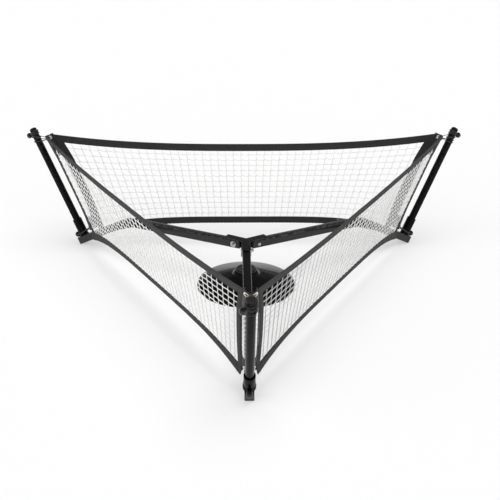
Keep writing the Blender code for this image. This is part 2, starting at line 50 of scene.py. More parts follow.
bl_info = {
    "name": "Rebounder Net",
    "version": (1, 0, 0),
    "blender": (4, 5, 0),
    "location": "3D Viewport > Sidebar > Rebounder",
    "description": "Makes the detailed pieces and finishes of a rebounder net",
    "category": "Object",
}

# The CAD frame's own sizes, repeated so that each piece goes where its solid is. A pull at one
# end of the side tape is how far it goes, the share of the height it reaches over, and its power
GAP = 0.0003
CORNERS = {"front": -90, "back_right": 30, "back_left": 150}
PANELS = {"back": 90, "left": 210, "right": 330}
TUBE = 0.030
TUBE_WALL = 0.002
HUB_Z = 0.1653
RUN_SLOPE = math.radians(2)
ARM_INNER_R = 0.022
SLOPE = math.radians(28.5)
FOOT_R = 0.770
BEND_R = 0.130
PLUG_HEAD = 0.003
PLATE_WIDTH = 0.032
PLATE_REACH = 0.086
PLATE_THICK = 0.0035
PLATE_BOTTOM = HUB_Z + TUBE / 2
HUB_SOCKET_R = 0.019
HUB_SOCKET_BOTTOM = 0.120
BOLT_R = 0.046
BOLT_SHANK = 0.004
BOLT_HOLE = 0.0043
BOLT_HEAD_R = 0.0072
BOLT_HEAD = 0.005
WASHER_R = 0.011
WASHER_THICK = 0.0016
NUT_FLAT = 0.0065
NUT_THICK = 0.0065
BOLT_END = 0.0035
POST_INSET = 0.031
POST_R = 0.014
POST_WALL = 0.0015
POST_FROM = 0.001
POST_TO = 0.471
CAP_HEAD = 0.0045
CAP_DEPTH = 0.016
SOCKET_R = 0.01825
SOCKET_BORE = 0.0146
SOCKET_LENGTH = 0.072
CORNER_TOP = (0.880, 0.440)
CORNER_BOTTOM = (0.676, 0.055)
HALF_STRIP = 0.027
GATHER_TOP = (0.014, 0.25, 1.5)
GATHER_BOTTOM = (0.017, 0.34, 1.5)
TOP_SAG = {"back": 0.038, "left": 0.032, "right": 0.027}
TOP_POWER = 2.6
BOTTOM_RISE = 0.042
BOTTOM_POWER = 4.2
TOP_BAND = 0.028
BOTTOM_BAND = 0.025
SIDE_BAND = 0.021
STRIP_BULGE = 0.019
STRIP_CLEAR = 0.0025
STRIP_FROM = 0.0295
STRIP_PAST_TOP = 0.008
EYELET_APART = 0.0107
EYELET_IN = 0.011
EYELET_HOLE = 0.005
BALL_R = 0.0112
BALL_OUT = 0.0318
LOOP_TOP = 0.453
LOOP_BOTTOM = 0.0115
BALL_SWING = {"front": -43, "back_right": 0, "back_left": 0}
BASE_R = 0.183
BASE_LIP = 0.0006
SHELL_THICK = 0.003
COLLAR_OUTER = [(0.043, 0.060), (0.0475, 0.0545), (0.0508, 0.049)]
COLLAR_INNER = [(0.0478, 0.0465), (0.040, 0.0565)]
DOME_INNER = (0.0525, 0.0475)
DOME_OUTER = (0.170, 0.0165)
DOME_POWER = 1.25
PLATE_H = 0.003
STEM_R = 0.014
STEM_WALL = 0.002
STEM_TOP = 0.171
STEM_HOLE = 0.0144
KNOB_R = 0.039
KNOB_BOTTOM = 0.0623
KNOB_TOP = 0.0715

# The photograph's camera
CAMERA_BACK = 3.1231
CAMERA_UP = 1.5870
CAMERA_PITCH = 0.4328
CAMERA_YAW = 0.0188
CAMERA_ROLL = 0.0045
CAMERA_ASIDE = 0.01427
CAMERA_LENS = 67.15

# Details that the CAD frame leaves out
INNER_TOP = (0.014, 0.25, 1.3)
INNER_BOTTOM = (0.011, 0.5, 1.5)
CURL_POWER = 3.5
CURL = (0, -0.005, -0.011)
NET_PITCH = (0.029, 0.025)
STRIP_PITCH = (0.015, 0.025)
STRIP_NET_FROM = STRIP_FROM + 0.045
STRIP_NET_SHORT = 0.075
HEM_FROM = STRIP_FROM + 0.04
HEM_SHORT = 0.07
HEM_THICK = 0.0025
SIDE_OVERLAP = 1.07
PATCH_BOTTOM = 0.057
PATCH_TOP = 0.088
PATCH_THICK = 0.0034
PATCH_EDGE = 0.0022
SCALLOP = 0.015
SCALLOP_DEPTH = 0.0013
TOP_SCALLOP_DEPTH = 0.0006
RIPPLES = ((21, 0.00018), (57, 0.0001), (134, 0.0001))
TAPE_WIDTH = 0.026
STRIP_HALF_WIDTH = 0.03
THREAD_PITCH = 0.00125
THREAD_FROM = 0.028
STRAND_APART = 0.0014
LOOP_TURNS = 2
LOOP_START = math.radians(24)
LOOP_DROP = 0.0265
LOOP_SPREAD = 0.0115
LOOP_CLIMB = 0.0065
LOOP_STEP = 0.003

# The floor, and the light round the object: its strength near the horizon and overhead, and
# the two heights between which one turns into the other
FLOOR_HALF = 9.0
FLOOR_DROP = 0.0002
HORIZON_LIGHT = 1.1
CEILING_LIGHT = 0.06
LIGHT_TURNS = (0.2, 0.32)
FLOOR_GLOW = 0.43

TURN = 2 * math.pi


# ---------------------------------------------------------------- points and directions


def unit(vectors):
    """Each vector divided by its own length."""
    return vectors / np.maximum(np.linalg.norm(vectors, axis=-1, keepdims=True), 1e-12)


def turns(steps):
    """Angles of a full circle, evenly spaced, the last one left out."""
    return np.arange(steps) * TURN / steps


def heading(angle):
    """A run that falls at an angle, as (radius, height)."""
    return np.stack([np.cos(angle), -np.sin(angle)], -1)


def upward(angle):
    """Square to a run that falls at an angle, as (radius, height)."""
    return np.stack([np.sin(angle), np.cos(angle)], -1)


FOOT_CENTRE = np.array([FOOT_R, 0.0]) + upward(SLOPE) * TUBE / 2
POST_FOOT = np.array([FOOT_R, 0.0]) + upward(SLOPE) * TUBE - heading(SLOPE) * POST_INSET


def spun(angle, axis="Z"):
    return Matrix.Rotation(angle, 4, axis)


def moved(x, y, z):
    return Matrix.Translation((x, y, z))


def corner_frame(name):
    """The frame of a corner: X out along its arm, Z up."""
    return spun(math.radians(CORNERS[name]))


def run_frame(name):
    """The frame of an arm's upper run: X along it, from the hub."""
    return corner_frame(name) @ moved(0, 0, HUB_Z) @ spun(RUN_SLOPE, "Y")


def post_frame(name):
    """The frame of a post: Z along it, from the top of the arm."""
    return corner_frame(name) @ moved(POST_FOOT[0], 0, POST_FOOT[1]) @ spun(SLOPE, "Y")


def bolt_frame(name, along):
    """The frame of a bolt through an arm: Z along the bolt, from a face of the arm."""
    return run_frame(name) @ moved(BOLT_R, along, 0) @ spun(-math.pi / 2, "X")


def panel_frame(name):
    """The frame of a net panel: X across it, Y up its plane, Z facing in."""
    away = [r / 2 + math.sqrt(3) / 2 * HALF_STRIP for r, _ in (CORNER_BOTTOM, CORNER_TOP)]
    tilt = math.atan2(away[1] - away[0], CORNER_TOP[1] - CORNER_BOTTOM[1])
    at = moved(0, away[0], CORNER_BOTTOM[1]) @ spun(math.pi / 2 - tilt, "X")
    return spun(math.radians(PANELS[name] - 90)) @ at


# ---------------------------------------------------------------- surfaces


class Shape:
    """Skins over grids of points, gathered into one mesh in a given frame."""

    def __init__(self, place=None):
        self.place = np.array(place if place is not None else Matrix.Identity(4))
        self.points, self.edge_wear_and_highlight, self.faces, self.maps = [], [], [], []
        self.count = 0

    def add(self, points, edge_wear_and_highlight):
        """Puts points in the frame's place: p times the turn, plus the shift."""
        flat = points.reshape(-1, 3) @ self.place[:3, :3].T + self.place[:3, 3]
        self.points.append(flat)
        self.edge_wear_and_highlight.append(np.broadcast_to(edge_wear_and_highlight, points.shape[:-1]).reshape(-1))
        index = self.count + np.arange(len(flat)).reshape(points.shape[:-1])
        self.count += len(flat)
        return index

    def skin(self, points, wrap=(False, True), caps=False, edge_wear_and_highlight=0.0, chart=None):
        """Quads between neighbours of points[i, j]; wrap joins the last row or column to the
        first, caps adds a fan of triangles to the middle of the first and last row, and the map
        is the mean distance along i and along j unless a chart gives it."""
        index = self.add(points, edge_wear_and_highlight)
        closed = points
        for axis in (0, 1):
            if wrap[axis]:
                closed = np.concatenate([closed, closed.take([0], axis)], axis)
                index = np.concatenate([index, index.take([0], axis)], axis)
        if chart is None:
            chart = []
            for axis in (0, 1):
                steps = np.linalg.norm(np.diff(closed, axis=axis), axis=-1).mean(1 - axis)
                chart.append(np.concatenate([[0], np.cumsum(steps)]))
        u, v = np.broadcast_arrays(chart[0][:, None], chart[1][None, :])
        ways = ((slice(None, -1), slice(None, -1)), (slice(None, -1), slice(1, None)))
        ways += ((slice(1, None), slice(1, None)), (slice(1, None), slice(None, -1)))
        self.faces.append(np.stack([index[way] for way in ways], -1).reshape(-1, 4))
        uv = np.stack([u, v], -1)
        self.maps.append(np.stack([uv[way] for way in ways], -2).reshape(-1, 4, 2))
        if caps:
            for end, order in ((0, (0, 2, 1)), (-1, (0, 1, 2))):
                row, around = index[end], uv[end]
                hub = self.add(points[end].mean(0)[None], 0.0)[0]
                fan = np.stack([np.full(len(row) - 1, hub), row[:-1], row[1:]], -1)
                self.faces.append(fan[:, order])
                spokes = np.stack([(around[:-1] + around[1:]) / 2, around[:-1], around[1:]], 1)
                self.maps.append(spokes[:, order])

    def build(self, name, finish, sharp=35.0):
        """One mesh object at the origin from all the skins, smooth but for its sharp edges."""
        mesh = bpy.data.meshes.new(name)
        mesh.vertices.add(self.count)
        mesh.vertices.foreach_set("co", np.concatenate(self.points).astype(np.float32).ravel())
        loops = np.concatenate([face.ravel() for face in self.faces]).astype(np.int32)
        sides = np.concatenate([np.full(len(face), face.shape[1]) for face in self.faces])
        mesh.loops.add(len(loops))
        mesh.loops.foreach_set("vertex_index", loops)
        mesh.polygons.add(len(sides))
        starts = np.concatenate([[0], np.cumsum(sides)[:-1]]).astype(np.int32)
        mesh.polygons.foreach_set("loop_start", starts)
        chart = mesh.uv_layers.new(name="UVMap")
        flat = np.concatenate([piece.reshape(-1, 2) for piece in self.maps])
        chart.uv.foreach_set("vector", flat.astype(np.float32).ravel())
        edges = mesh.attributes.new("edge_wear_and_highlight", "FLOAT", "POINT")
        edges.data.foreach_set("value", np.concatenate(self.edge_wear_and_highlight).astype(np.float32))
        mesh.update(calc_edges=True)
        mesh.shade_smooth()
        mesh.set_sharp_from_angle(angle=math.radians(sharp))
        mesh.materials.append(finish)
        made = bpy.data.objects.new(name, mesh)
        bpy.context.scene.collection.objects.link(made)
        return made


def filleted(corners, radii, steps=5, closed=True):
    """A polyline with round corners: at each one a parabola that leaves one side and joins the
    next, (1-k)^2 from + 2k(1-k) corner + k^2 to."""
    at = np.array(corners, float)
    radii = np.broadcast_to(np.array(radii, float), len(at)).copy()
    back, ahead = np.roll(at, 1, 0) - at, np.roll(at, -1, 0) - at
    reach = np.minimum(np.linalg.norm(back, axis=1), np.linalg.norm(ahead, axis=1)) * 0.45
    reach = np.minimum(reach, radii)[:, None, None]
    k = np.linspace(0, 1, steps)[None, :, None]
    middle = at[:, None]
    start, end = middle + unit(back)[:, None] * reach, middle + unit(ahead)[:, None] * reach
    line = (1 - k) ** 2 * start + 2 * k * (1 - k) * middle + k**2 * end
    if not closed:
        return np.concatenate([at[:1], line[1:-1].reshape(-1, 2), at[-1:]])
    return line.reshape(-1, 2)


def around_z(r, z, angle):
    """Points round Z at a radius, a height and an angle: (r cos a, r sin a, z)."""
    return np.stack(np.broadcast_arrays(r * np.cos(angle), r * np.sin(angle), z), -1)


def turned(profile, steps):
    """A profile of (radius, height) turned about Z. It runs anticlockwise, up the outside and
    down the inside."""
    return around_z(profile[:, :1], profile[:, 1:], turns(steps)[None, :])


def pipe(inner, outer, low, high, soft=0.0006):
    """The profile of a round tube's wall with its four edges softened."""
    return filleted([(inner, low), (outer, low), (outer, high), (inner, high)], soft)


def rounded_square(half, corner, steps=7):
    """A square outline with round corners, anticlockwise: each corner's centre plus its arc.
    Returns its points and how far round its corner each one is, from 0 to 1 and back."""
    arc = np.linspace(0, math.pi / 2, steps)
    angle = (np.arange(4)[:, None] * math.pi / 2 + arc).ravel()
    quarter = np.repeat(np.arange(4) * math.pi / 2 + math.pi / 4, steps)
    flat = half - corner
    x = flat * np.sign(np.cos(quarter)) + corner * np.cos(angle)
    y = flat * np.sign(np.sin(quarter)) + corner * np.sin(angle)
    return x, y, np.tile(np.sin(2 * arc), 4)


def stacked(levels, steps=7):
    """Rounded squares one above another, from rows of (height, half width, corner radius)."""
    z, half, corner = (np.array(levels, float)[:, i : i + 1] for i in range(3))
    x, y, edge_wear_and_highlight = rounded_square(half, corner, steps)
    return np.stack(np.broadcast_arrays(x, y, z), -1), edge_wear_and_highlight


def line_length(line):
    """The distance along a line of points at each of them."""
    return np.concatenate([[0], np.cumsum(np.linalg.norm(np.diff(line, axis=0), axis=1))])


def tube(path, radius, lift, sides):
    """Rings along a path: each point plus radius times (cos a up + sin a aside), where up is
    lift made square to the path and aside is the path's direction crossed with it."""
    ahead = unit(np.gradient(path, axis=0))
    up = unit(lift - (lift * ahead).sum(-1, keepdims=True) * ahead)
    aside = np.cross(ahead, up)
    angle = turns(sides)[None, :, None]
    radius = np.broadcast_to(radius, len(path)).reshape(-1, 1, 1)
    return path[:, None] + radius * (np.cos(angle) * up[:, None] + np.sin(angle) * aside[:, None])


def tape_section(steps=20, flatness=0.3):
    """A flat rounded section: q from 0 to 1 across it and h from -1 to 1 through it, where both
    are a superellipse's sign(c) |c|^flatness."""
    angle = turns(steps) + math.pi / steps
    c, s = np.cos(angle), np.sin(angle)
    return 0.5 + 0.5 * np.sign(c) * abs(c) ** flatness, np.sign(s) * abs(s) ** flatness


# ---------------------------------------------------------------- materials


class Value:
    """One output of a node. Arithmetic on it adds Math nodes."""

    def __init__(self, nodes, socket):
        self.nodes = nodes
        self.socket = socket

    def math(self, operation, *values):
        return self.nodes.node("ShaderNodeMath", {"operation": operation}, values)

    def __add__(self, other):
        return self.math("ADD", self, other)

    __radd__ = __add__

    def __sub__(self, other):
        return self.math("SUBTRACT", self, other)

    def __rsub__(self, other):
        return self.math("SUBTRACT", other, self)

    def __mul__(self, other):
        return self.math("MULTIPLY", self, other)

    __rmul__ = __mul__

    def __truediv__(self, other):
        return self.math("DIVIDE", self, other)

    def __rtruediv__(self, other):
        return self.math("DIVIDE", other, self)

    def __abs__(self):
        return self.math("ABSOLUTE", self)

    def sine(self):
        return self.math("SINE", self)

    def wave(self, length):
        """From 0 to 1 and back, once for each length."""
        return self.math("PINGPONG", self / (length / 2), 1.0)

    def between(self, low, high):
        """0 below low, 1 above high and smooth between."""
        settings = {"interpolation_type": "SMOOTHSTEP"}
        return self.nodes.node("ShaderNodeMapRange", settings, [self, low, high, 0.0, 1.0])


class Nodes:
    """A node tree that is filled by one method."""

    def __init__(self, tree):
        self.tree = tree
        self.tree.nodes.clear()

    def node(self, kind, settings=None, values=(), output=0):
        """A node of a kind: its settings first, then its sockets' values or links."""
        made = self.tree.nodes.new(kind)
        for key, value in (settings or {}).items():
            setattr(made, key, value)
        for key, value in values.items() if isinstance(values, dict) else enumerate(values):
            if isinstance(value, Value):
                self.tree.links.new(value.socket, made.inputs[key])
            else:
                made.inputs[key].default_value = value
        return Value(self, made.outputs[output]) if made.outputs else made

    def where(self):
        """The place on the object, in metres."""
        return self.node("ShaderNodeTexCoord", output=3)

    def chart(self):
        """The place along and across the surface, in metres, as two values."""
        uv = self.node("ShaderNodeUVMap", {"uv_map": "UVMap"})
        parts = self.node("ShaderNodeSeparateXYZ", values=[uv])
        sockets = parts.socket.node.outputs
        return Value(self, sockets[0]), Value(self, sockets[1])

    def edge_wear_and_highlight(self):
        """1 on the marked edges and 0 on the flats. The finishes paint these edges lighter: wear,
        and on the paint and plastic also a painted highlight.
        """
        return self.node("ShaderNodeAttribute", {"attribute_name": "edge_wear_and_highlight"}, output=2)

    def noise(self, scale, detail=2.0):
        inputs = {"Vector": self.where(), "Scale": scale, "Detail": detail}
        return self.node("ShaderNodeTexNoise", values=inputs)

    def mix(self, factor, first, second):
        """The first colour where the factor is 0 and the second where it is 1."""
        names = {0: factor, 6: first, 7: second}
        settings = {"data_type": "RGBA"}
        return self.node("ShaderNodeMix", settings, names, output=2)

    def bump(self, height, distance, strength=1.0, under=None):
        inputs = {"Height": height, "Distance": distance, "Strength": strength}
        if under is not None:
            inputs["Normal"] = under
        return self.node("ShaderNodeBump", values=inputs)


FINISHES = {}


def as_material(name):
    """Turns paint(nodes, ...), which returns shader inputs, into a function that makes the named
    material the first time and returns it."""

    def wrap(paint):
        def made(*given):
            if name not in FINISHES:
                material = bpy.data.materials.new(name)
                material.use_nodes = True
                nodes = Nodes(material.node_tree)
                shader = nodes.node("ShaderNodeBsdfPrincipled", values=paint(nodes, *given))
                nodes.node("ShaderNodeOutputMaterial", values=[shader])
                FINISHES[name] = material
            return FINISHES[name]

        return made

    return wrap


def tone(colour, times=1.0):
    """An RGBA colour, made lighter or darker."""
    return (*(min(1.0, part * times) for part in colour), 1.0)


@as_material("satin_black_paint")
def paint_finish(nodes, colours):
    """Satin powder coat: an orange-peel bump, faint dust, and its marked edges painted lighter, as
    rubbed paint and as a painted highlight along them.
    """
    cloud = nodes.noise(9.0, 4.0)
    dust = nodes.noise(420.0, 2.0).between(0.62, 0.72)
    # Marked edges painted much lighter: partly worn paint, mostly a painted highlight along the
    # tubes' rounded corners and the plate's rim.
    lighter_edges = nodes.edge_wear_and_highlight() * nodes.noise(60.0, 4.0).between(0.38, 0.62)
    base = nodes.mix(cloud, tone(colours.paint, 0.8), tone(colours.paint, 1.25))
    base = nodes.mix(dust * 0.25, base, tone(colours.paint, 4.0))
    base = nodes.mix(lighter_edges * 0.8, base, tone(colours.paint, 14.0))
    peel = nodes.bump(nodes.noise(700.0, 2.0), 0.00012)
    return {
        "Base Color": base,
        "Roughness": cloud * 0.06 + 0.12 + lighter_edges * 0.1,
        "Specular IOR Level": 0.45,
        "Normal": peel,
    }


@as_material("gloss_black_paint")
def gloss_finish(nodes, colours):
    """Glossy tube paint: faint smudges, a few light specks, and its marked rim painted lighter, as
    wear and as a painted highlight.
    """
    smudge = nodes.noise(60.0, 3.0).between(0.45, 0.75)
    cloud = nodes.noise(6.0, 3.0)
    specks = nodes.noise(900.0, 1.0).between(0.68, 0.75)
    base = nodes.mix(cloud, tone(colours.gloss, 0.8), tone(colours.gloss, 1.2))
    base = nodes.mix(specks * 0.2, base, tone(colours.gloss, 4.0))
    # The post's top rim painted lighter: wear and a painted highlight on the rim.
    lighter_edges = nodes.edge_wear_and_highlight() * nodes.noise(90.0, 3.0).between(0.35, 0.6)
    base = nodes.mix(lighter_edges * 0.6, base, tone(colours.gloss, 6.0))
    return {
        "Base Color": base,
        "Roughness": smudge * 0.04 + 0.12,
        "Specular IOR Level": 0.06,
        "Normal": nodes.bump(nodes.noise(500.0, 2.0), 0.00003),
    }


@as_material("zinc_plated_steel")
def zinc_finish(nodes, colours):
    """Zinc-plated steel: a faint spangle under a fine grain."""
    spangle = nodes.noise(260.0, 3.0)
    base = nodes.mix(spangle, tone(colours.zinc, 0.78), tone(colours.zinc, 1.12))
    return {
        "Base Color": base,
        "Metallic": 1.0,
        "Roughness": nodes.noise(420.0, 2.0) * 0.18 + 0.2,
        "Normal": nodes.bump(nodes.noise(1500.0, 2.0), 0.00005),
    }


@as_material("grained_black_plastic")
def plastic_finish(nodes, colours):
    """Moulded plastic with a fine spark-eroded grain."""
    cloud = nodes.noise(30.0, 3.0)
    grain = nodes.noise(1400.0, 2.0)
    # Marked edges painted lighter, as on the frame: wear and a painted highlight along the end
    # plugs' rounded corners.
    lighter_edges = nodes.edge_wear_and_highlight() * nodes.noise(120.0, 3.0).between(0.4, 0.6)
    base = nodes.mix(cloud, tone(colours.plastic, 0.85), tone(colours.plastic, 1.2))
    base = nodes.mix(lighter_edges * 0.5, base, tone(colours.plastic, 2.2))
    return {
        "Base Color": base,
        "Roughness": cloud * 0.1 + 0.24,
        "Specular IOR Level": 0.4,
        "Normal": nodes.bump(grain, 0.00014),
    }


@as_material("glossy_black_ball")
def ball_finish(nodes, colours):
    """Hard glossy plastic with faint handling marks."""
    marks = nodes.noise(110.0, 4.0).between(0.5, 0.75)
    return {
        "Base Color": nodes.mix(marks, tone(colours.ball), tone(colours.ball, 2.0)),
        "Roughness": marks * 0.12 + 0.16,
        "Normal": nodes.bump(nodes.noise(500.0, 2.0), 0.00006),
    }


@as_material("glossy_base_plastic")
def base_finish(nodes, colours):
    """The base's glossy moulding: soft flow marks, dust, and a faint ripple under the gloss."""
    flow = nodes.noise(14.0, 4.0)
    dust = nodes.noise(520.0, 2.0).between(0.64, 0.74)
    base = nodes.mix(flow, tone(colours.base, 0.8), tone(colours.base, 1.3))
    base = nodes.mix(dust * 0.2, base, tone(colours.base, 4.0))
    ripple = nodes.bump(nodes.noise(34.0, 2.0), 0.0004, 0.35)
    return {
        "Base Color": base,
        "Roughness": nodes.noise(45.0, 3.0).between(0.4, 0.8) * 0.08 + 0.12,
        "Specular IOR Level": 0.12,
        "Normal": nodes.bump(nodes.noise(900.0, 2.0), 0.00005, 1.0, ripple),
    }


@as_material("cast_cement")
def ballast_finish(nodes, colours):
    """Cast cement with sand grains and pits."""
    sand = nodes.noise(700.0, 4.0)
    stain = nodes.noise(25.0, 4.0)
    base = nodes.mix(stain, tone(colours.cement, 0.75), tone(colours.cement, 1.2))
    return {
        "Base Color": nodes.mix(sand.between(0.5, 0.8) * 0.5, base, tone(colours.cement, 0.4)),
        "Roughness": 0.92,
        "Normal": nodes.bump(sand, 0.0006),
    }


def braid(nodes, length, around, count):
    """The height of a braided cover: two sets of strands that wind opposite ways and pass over
    and under each other, the product of two diagonal sines."""
    along, across = nodes.chart()
    lean, spin = along * (TURN / length), across * (TURN * count / around)
    return abs((lean + spin).sine() * (lean - spin).sine())


@as_material("braided_elastic")
def elastic_finish(nodes, colours, radius):
    """Elastic cord with a braided cover."""
    strands = braid(nodes, 0.004, TURN * radius, 3)
    # Colour follows the braid's height: crowns painted lighter and gaps darker, a painted highlight
    # and shade on the strands.
    base = nodes.mix(strands, tone(colours.elastic, 0.6), tone(colours.elastic, 1.7))
    return {
        "Base Color": base,
        "Roughness": 0.62 - strands * 0.1,
        "Sheen Weight": 0.15,
        "Sheen Roughness": 0.5,
        "Normal": nodes.bump(strands, 0.0005),
    }


@as_material("white_braided_twine")
def netting_finish(nodes, colours, radius):
    """White braided twine, a little greyer where it has been handled."""
    strands = braid(nodes, 0.006, TURN * radius, 2)
    soiled = nodes.noise(11.0, 4.0).between(0.35, 0.8)
    base = nodes.mix(soiled, tone(colours.netting), tone(colours.netting, 0.95))
    # Darker where the braid is low: painted shade between the strands.
    base = nodes.mix(strands, tone(colours.netting, 0.84), base)
    return {
        "Base Color": base,
        "Roughness": 0.72 - strands * 0.12,
        "Specular IOR Level": 0.3,
        "Normal": nodes.bump(strands, 0.0006),
    }


@as_material("woven_black_tape")
def webbing_finish(nodes, colours):
    """Woven tape: ribs that turn in chevrons across it, fluffed and lighter at its edges."""
    along, across = nodes.chart()
    zigzag = across.wave(0.0064)
    ribs = ((along + zigzag * 0.0024) * (TURN / 0.0021)).sine() * 0.5 + 0.5
    cords = (across * (TURN / 0.0016)).sine() * 0.5 + 0.5
    weave = ribs * 0.65 + cords * 0.35
    cloud = nodes.noise(38.0, 4.0)
    fluff = nodes.noise(900.0, 3.0).between(0.55, 0.75)
    # Ribs painted lighter and grooves darker: a painted highlight and shade on the weave.
    base = nodes.mix(weave, tone(colours.webbing, 0.55), tone(colours.webbing, 1.45))
    base = nodes.mix(cloud * 0.5, base, tone(colours.webbing, 0.7))
    lighter_edges = (nodes.edge_wear_and_highlight() * 0.7 + 0.15) * fluff
    base = nodes.mix(lighter_edges, base, tone(colours.webbing, 2.4))
    return {
        "Base Color": base,
        "Roughness": 0.85 - weave * 0.15,
        "Specular IOR Level": 0.3,
        "Sheen Weight": 0.12,
        "Sheen Roughness": 0.4,
        "Normal": nodes.bump(weave, 0.0006, 1.0, nodes.bump(cloud, 0.001, 0.5)),
    }


@as_material("black_nylon_patch")
def patch_finish(nodes, colours):
    """Plain-woven nylon: threads over and under each other both ways."""
    along, across = nodes.chart()
    weft, warp = (along * (TURN / 0.0013)).sine(), (across * (TURN / 0.0013)).sine()
    weave = weft * warp * 0.5 + 0.5
    crease = nodes.noise(70.0, 4.0)
    # Thread crowns painted lighter and hollows darker, and the creases painted darker: painted
    # highlight and shade.
    base = nodes.mix(weave, tone(colours.patch, 0.6), tone(colours.patch, 1.6))
    base = nodes.mix(crease * 0.5, base, tone(colours.patch, 0.6))
    return {
        "Base Color": base,
        "Roughness": 0.7 - weave * 0.12,
        "Sheen Weight": 0.15,
        "Sheen Roughness": 0.4,
        "Normal": nodes.bump(weave, 0.0004, 1.0, nodes.bump(crease, 0.002, 0.6)),
    }


@as_material("black_sewing_thread")
def thread_finish(nodes, colours):
    """Twisted sewing thread."""
    along, across = nodes.chart()
    ply = ((along * (TURN / 0.0011)) + (across * (TURN / 0.0025))).sine() * 0.5 + 0.5
    # The ply's crowns painted lighter and grooves darker: a painted highlight and shade on the
    # twist.
    return {
        "Base Color": nodes.mix(ply, tone(colours.thread, 0.6), tone(colours.thread, 1.3)),
        "Roughness": 0.6 - ply * 0.1,
        "Normal": nodes.bump(ply, 0.0002),
    }


@as_material("pressed_eyelet_metal")
def eyelet_finish(nodes, colours):
    """Pressed and plated metal whose tone and roughness vary in patches."""
    dull = nodes.noise(190.0, 4.0)
    base = nodes.mix(dull, tone(colours.metal, 0.8), tone(colours.metal, 1.1))
    return {
        "Base Color": base,
        "Metallic": 1.0,
        "Roughness": dull * 0.22 + 0.16,
        "Normal": nodes.bump(nodes.noise(1200.0, 2.0), 0.00004),
    }


# ---------------------------------------------------------------- the net's own lines


PANEL_HEIGHT = math.hypot(
    CORNER_TOP[1] - CORNER_BOTTOM[1],
    (CORNER_TOP[0] - CORNER_BOTTOM[0]) / 2,
)
CORNER_LENGTH = math.dist(CORNER_TOP, CORNER_BOTTOM)
CORNER_RISE = np.array([CORNER_TOP[0] - CORNER_BOTTOM[0], 0, CORNER_TOP[1] - CORNER_BOTTOM[1]])
LEAN = CORNER_RISE / CORNER_LENGTH
OUTWARD = np.array([LEAN[2], 0, -LEAN[0]])
CORNER_FOOT = np.array([CORNER_BOTTOM[0], 0, CORNER_BOTTOM[1]])
STRIP_END = CORNER_LENGTH + STRIP_PAST_TOP


def half_width(s):
    """Half the panel's width at a height s up its plane: a straight line between two widths."""
    bottom, top = (math.sqrt(3) / 2 * r - HALF_STRIP / 2 for r, _ in (CORNER_BOTTOM, CORNER_TOP))
    return bottom + (top - bottom) * s / PANEL_HEIGHT


def pulled(k, top, bottom):
    """A shift at a fraction k of the height that grows towards both ends: each end's most,
    times a power of the distance into its span."""
    (high, high_span, high_power), (low, low_span, low_power) = top, bottom
    above = np.maximum(0, (k - 1) / high_span + 1)
    below = np.maximum(0, 1 - k / low_span)
    return high * above**high_power + low * below**low_power


def gather(k):
    """How far the side tape spreads past the panel's side at a fraction k of its height."""
    return pulled(k, GATHER_TOP, GATHER_BOTTOM)


def outer_half(s):
    return half_width(s) + gather(s / PANEL_HEIGHT)


def inner_half(s):
    """The side tape's inner edge, which is pulled out towards the post near both ends."""
    return half_width(s) - SIDE_BAND + pulled(s / PANEL_HEIGHT, INNER_TOP, INNER_BOTTOM)


class Sheet:
    """One panel in its own plane: x across it, y up it, from the bottom edge at y = 0."""

    def __init__(self, sag):
        self.sag = sag

    def top_edge(self, w):
        """The top edge's height at w: the full height less a sag that falls as a power of w."""
        return PANEL_HEIGHT - self.sag * (1 - (abs(w) / half_width(PANEL_HEIGHT)) ** TOP_POWER)

    def bottom_edge(self, w):
        return BOTTOM_RISE * (1 - np.minimum(1, abs(w) / half_width(0)) ** BOTTOM_POWER)

    def settled(self, t, reach, height):
        """(w, s) where w is t times reach(s) and s is height(w), by repeating both."""
        w, s = np.zeros_like(t), np.full_like(t, PANEL_HEIGHT / 2)
        for _ in range(10):
            w = t * reach(s)
            s = height(w)
        return np.stack([w, s], -1)

    def under_top(self, t, down, reach):
        return self.settled(t, reach, lambda w: self.top_edge(w) - down)

    def over_bottom(self, t, up, reach):
        return self.settled(t, reach, lambda w: self.bottom_edge(w) + up)

    def netting_at(self, t, v, tuck):
        """The netting: a straight line from the bottom tape to the top one at each t."""

        def reach(s):
            return inner_half(s) + tuck

        low = self.over_bottom(t, BOTTOM_BAND - tuck, reach)
        high = self.under_top(t, TOP_BAND - tuck, reach)
        flat = low + (high - low) * v[..., None]
        return np.concatenate([flat, np.zeros_like(flat[..., :1])], -1)


def strip_arc(distance):
    """The strip's arc at a distance up the corner line, through its two sides and its bulge:
    its radius, (chord^2 + bulge^2) / (2 bulge), and the angle from its middle to its side."""
    chord = HALF_STRIP - gather(distance / CORNER_LENGTH) / 2 - STRIP_CLEAR
    bend = (chord**2 + STRIP_BULGE**2) / (2 * STRIP_BULGE)
    return bend, np.arctan2(chord, bend - STRIP_BULGE)


def strip_at(aside, distance, lift=0.0):
    """The curved strip between two panels: aside from -1 to 1 round its arc and a distance up
    the corner line, moved out by lift."""
    bend, half = strip_arc(distance)
    sweep = half * aside
    middle = CORNER_FOOT + LEAN * distance[..., None]
    middle[..., 0] += math.sqrt(3) / 2 * gather(distance / CORNER_LENGTH)
    out = STRIP_BULGE - bend + (bend + lift) * np.cos(sweep)
    place = middle + OUTWARD * out[..., None]
    place[..., 1] += (bend + lift) * np.sin(sweep)
    return place


def strip_facing(aside, distance):
    """The direction that the strip faces: from just inside it to just outside it."""
    return unit(strip_at(aside, distance, 0.001) - strip_at(aside, distance, -0.001))


def strip_turn(across, distance):
    """The aside value of a point that stands across metres from the strip's middle."""
    bend, half = strip_arc(distance)
    return np.arcsin(across / bend) / half


def strip_turn_per_metre(distance):
    """How much aside grows for each metre across, at the strip's middle."""
    step = 0.001
    return strip_turn(np.array(step), distance) / step


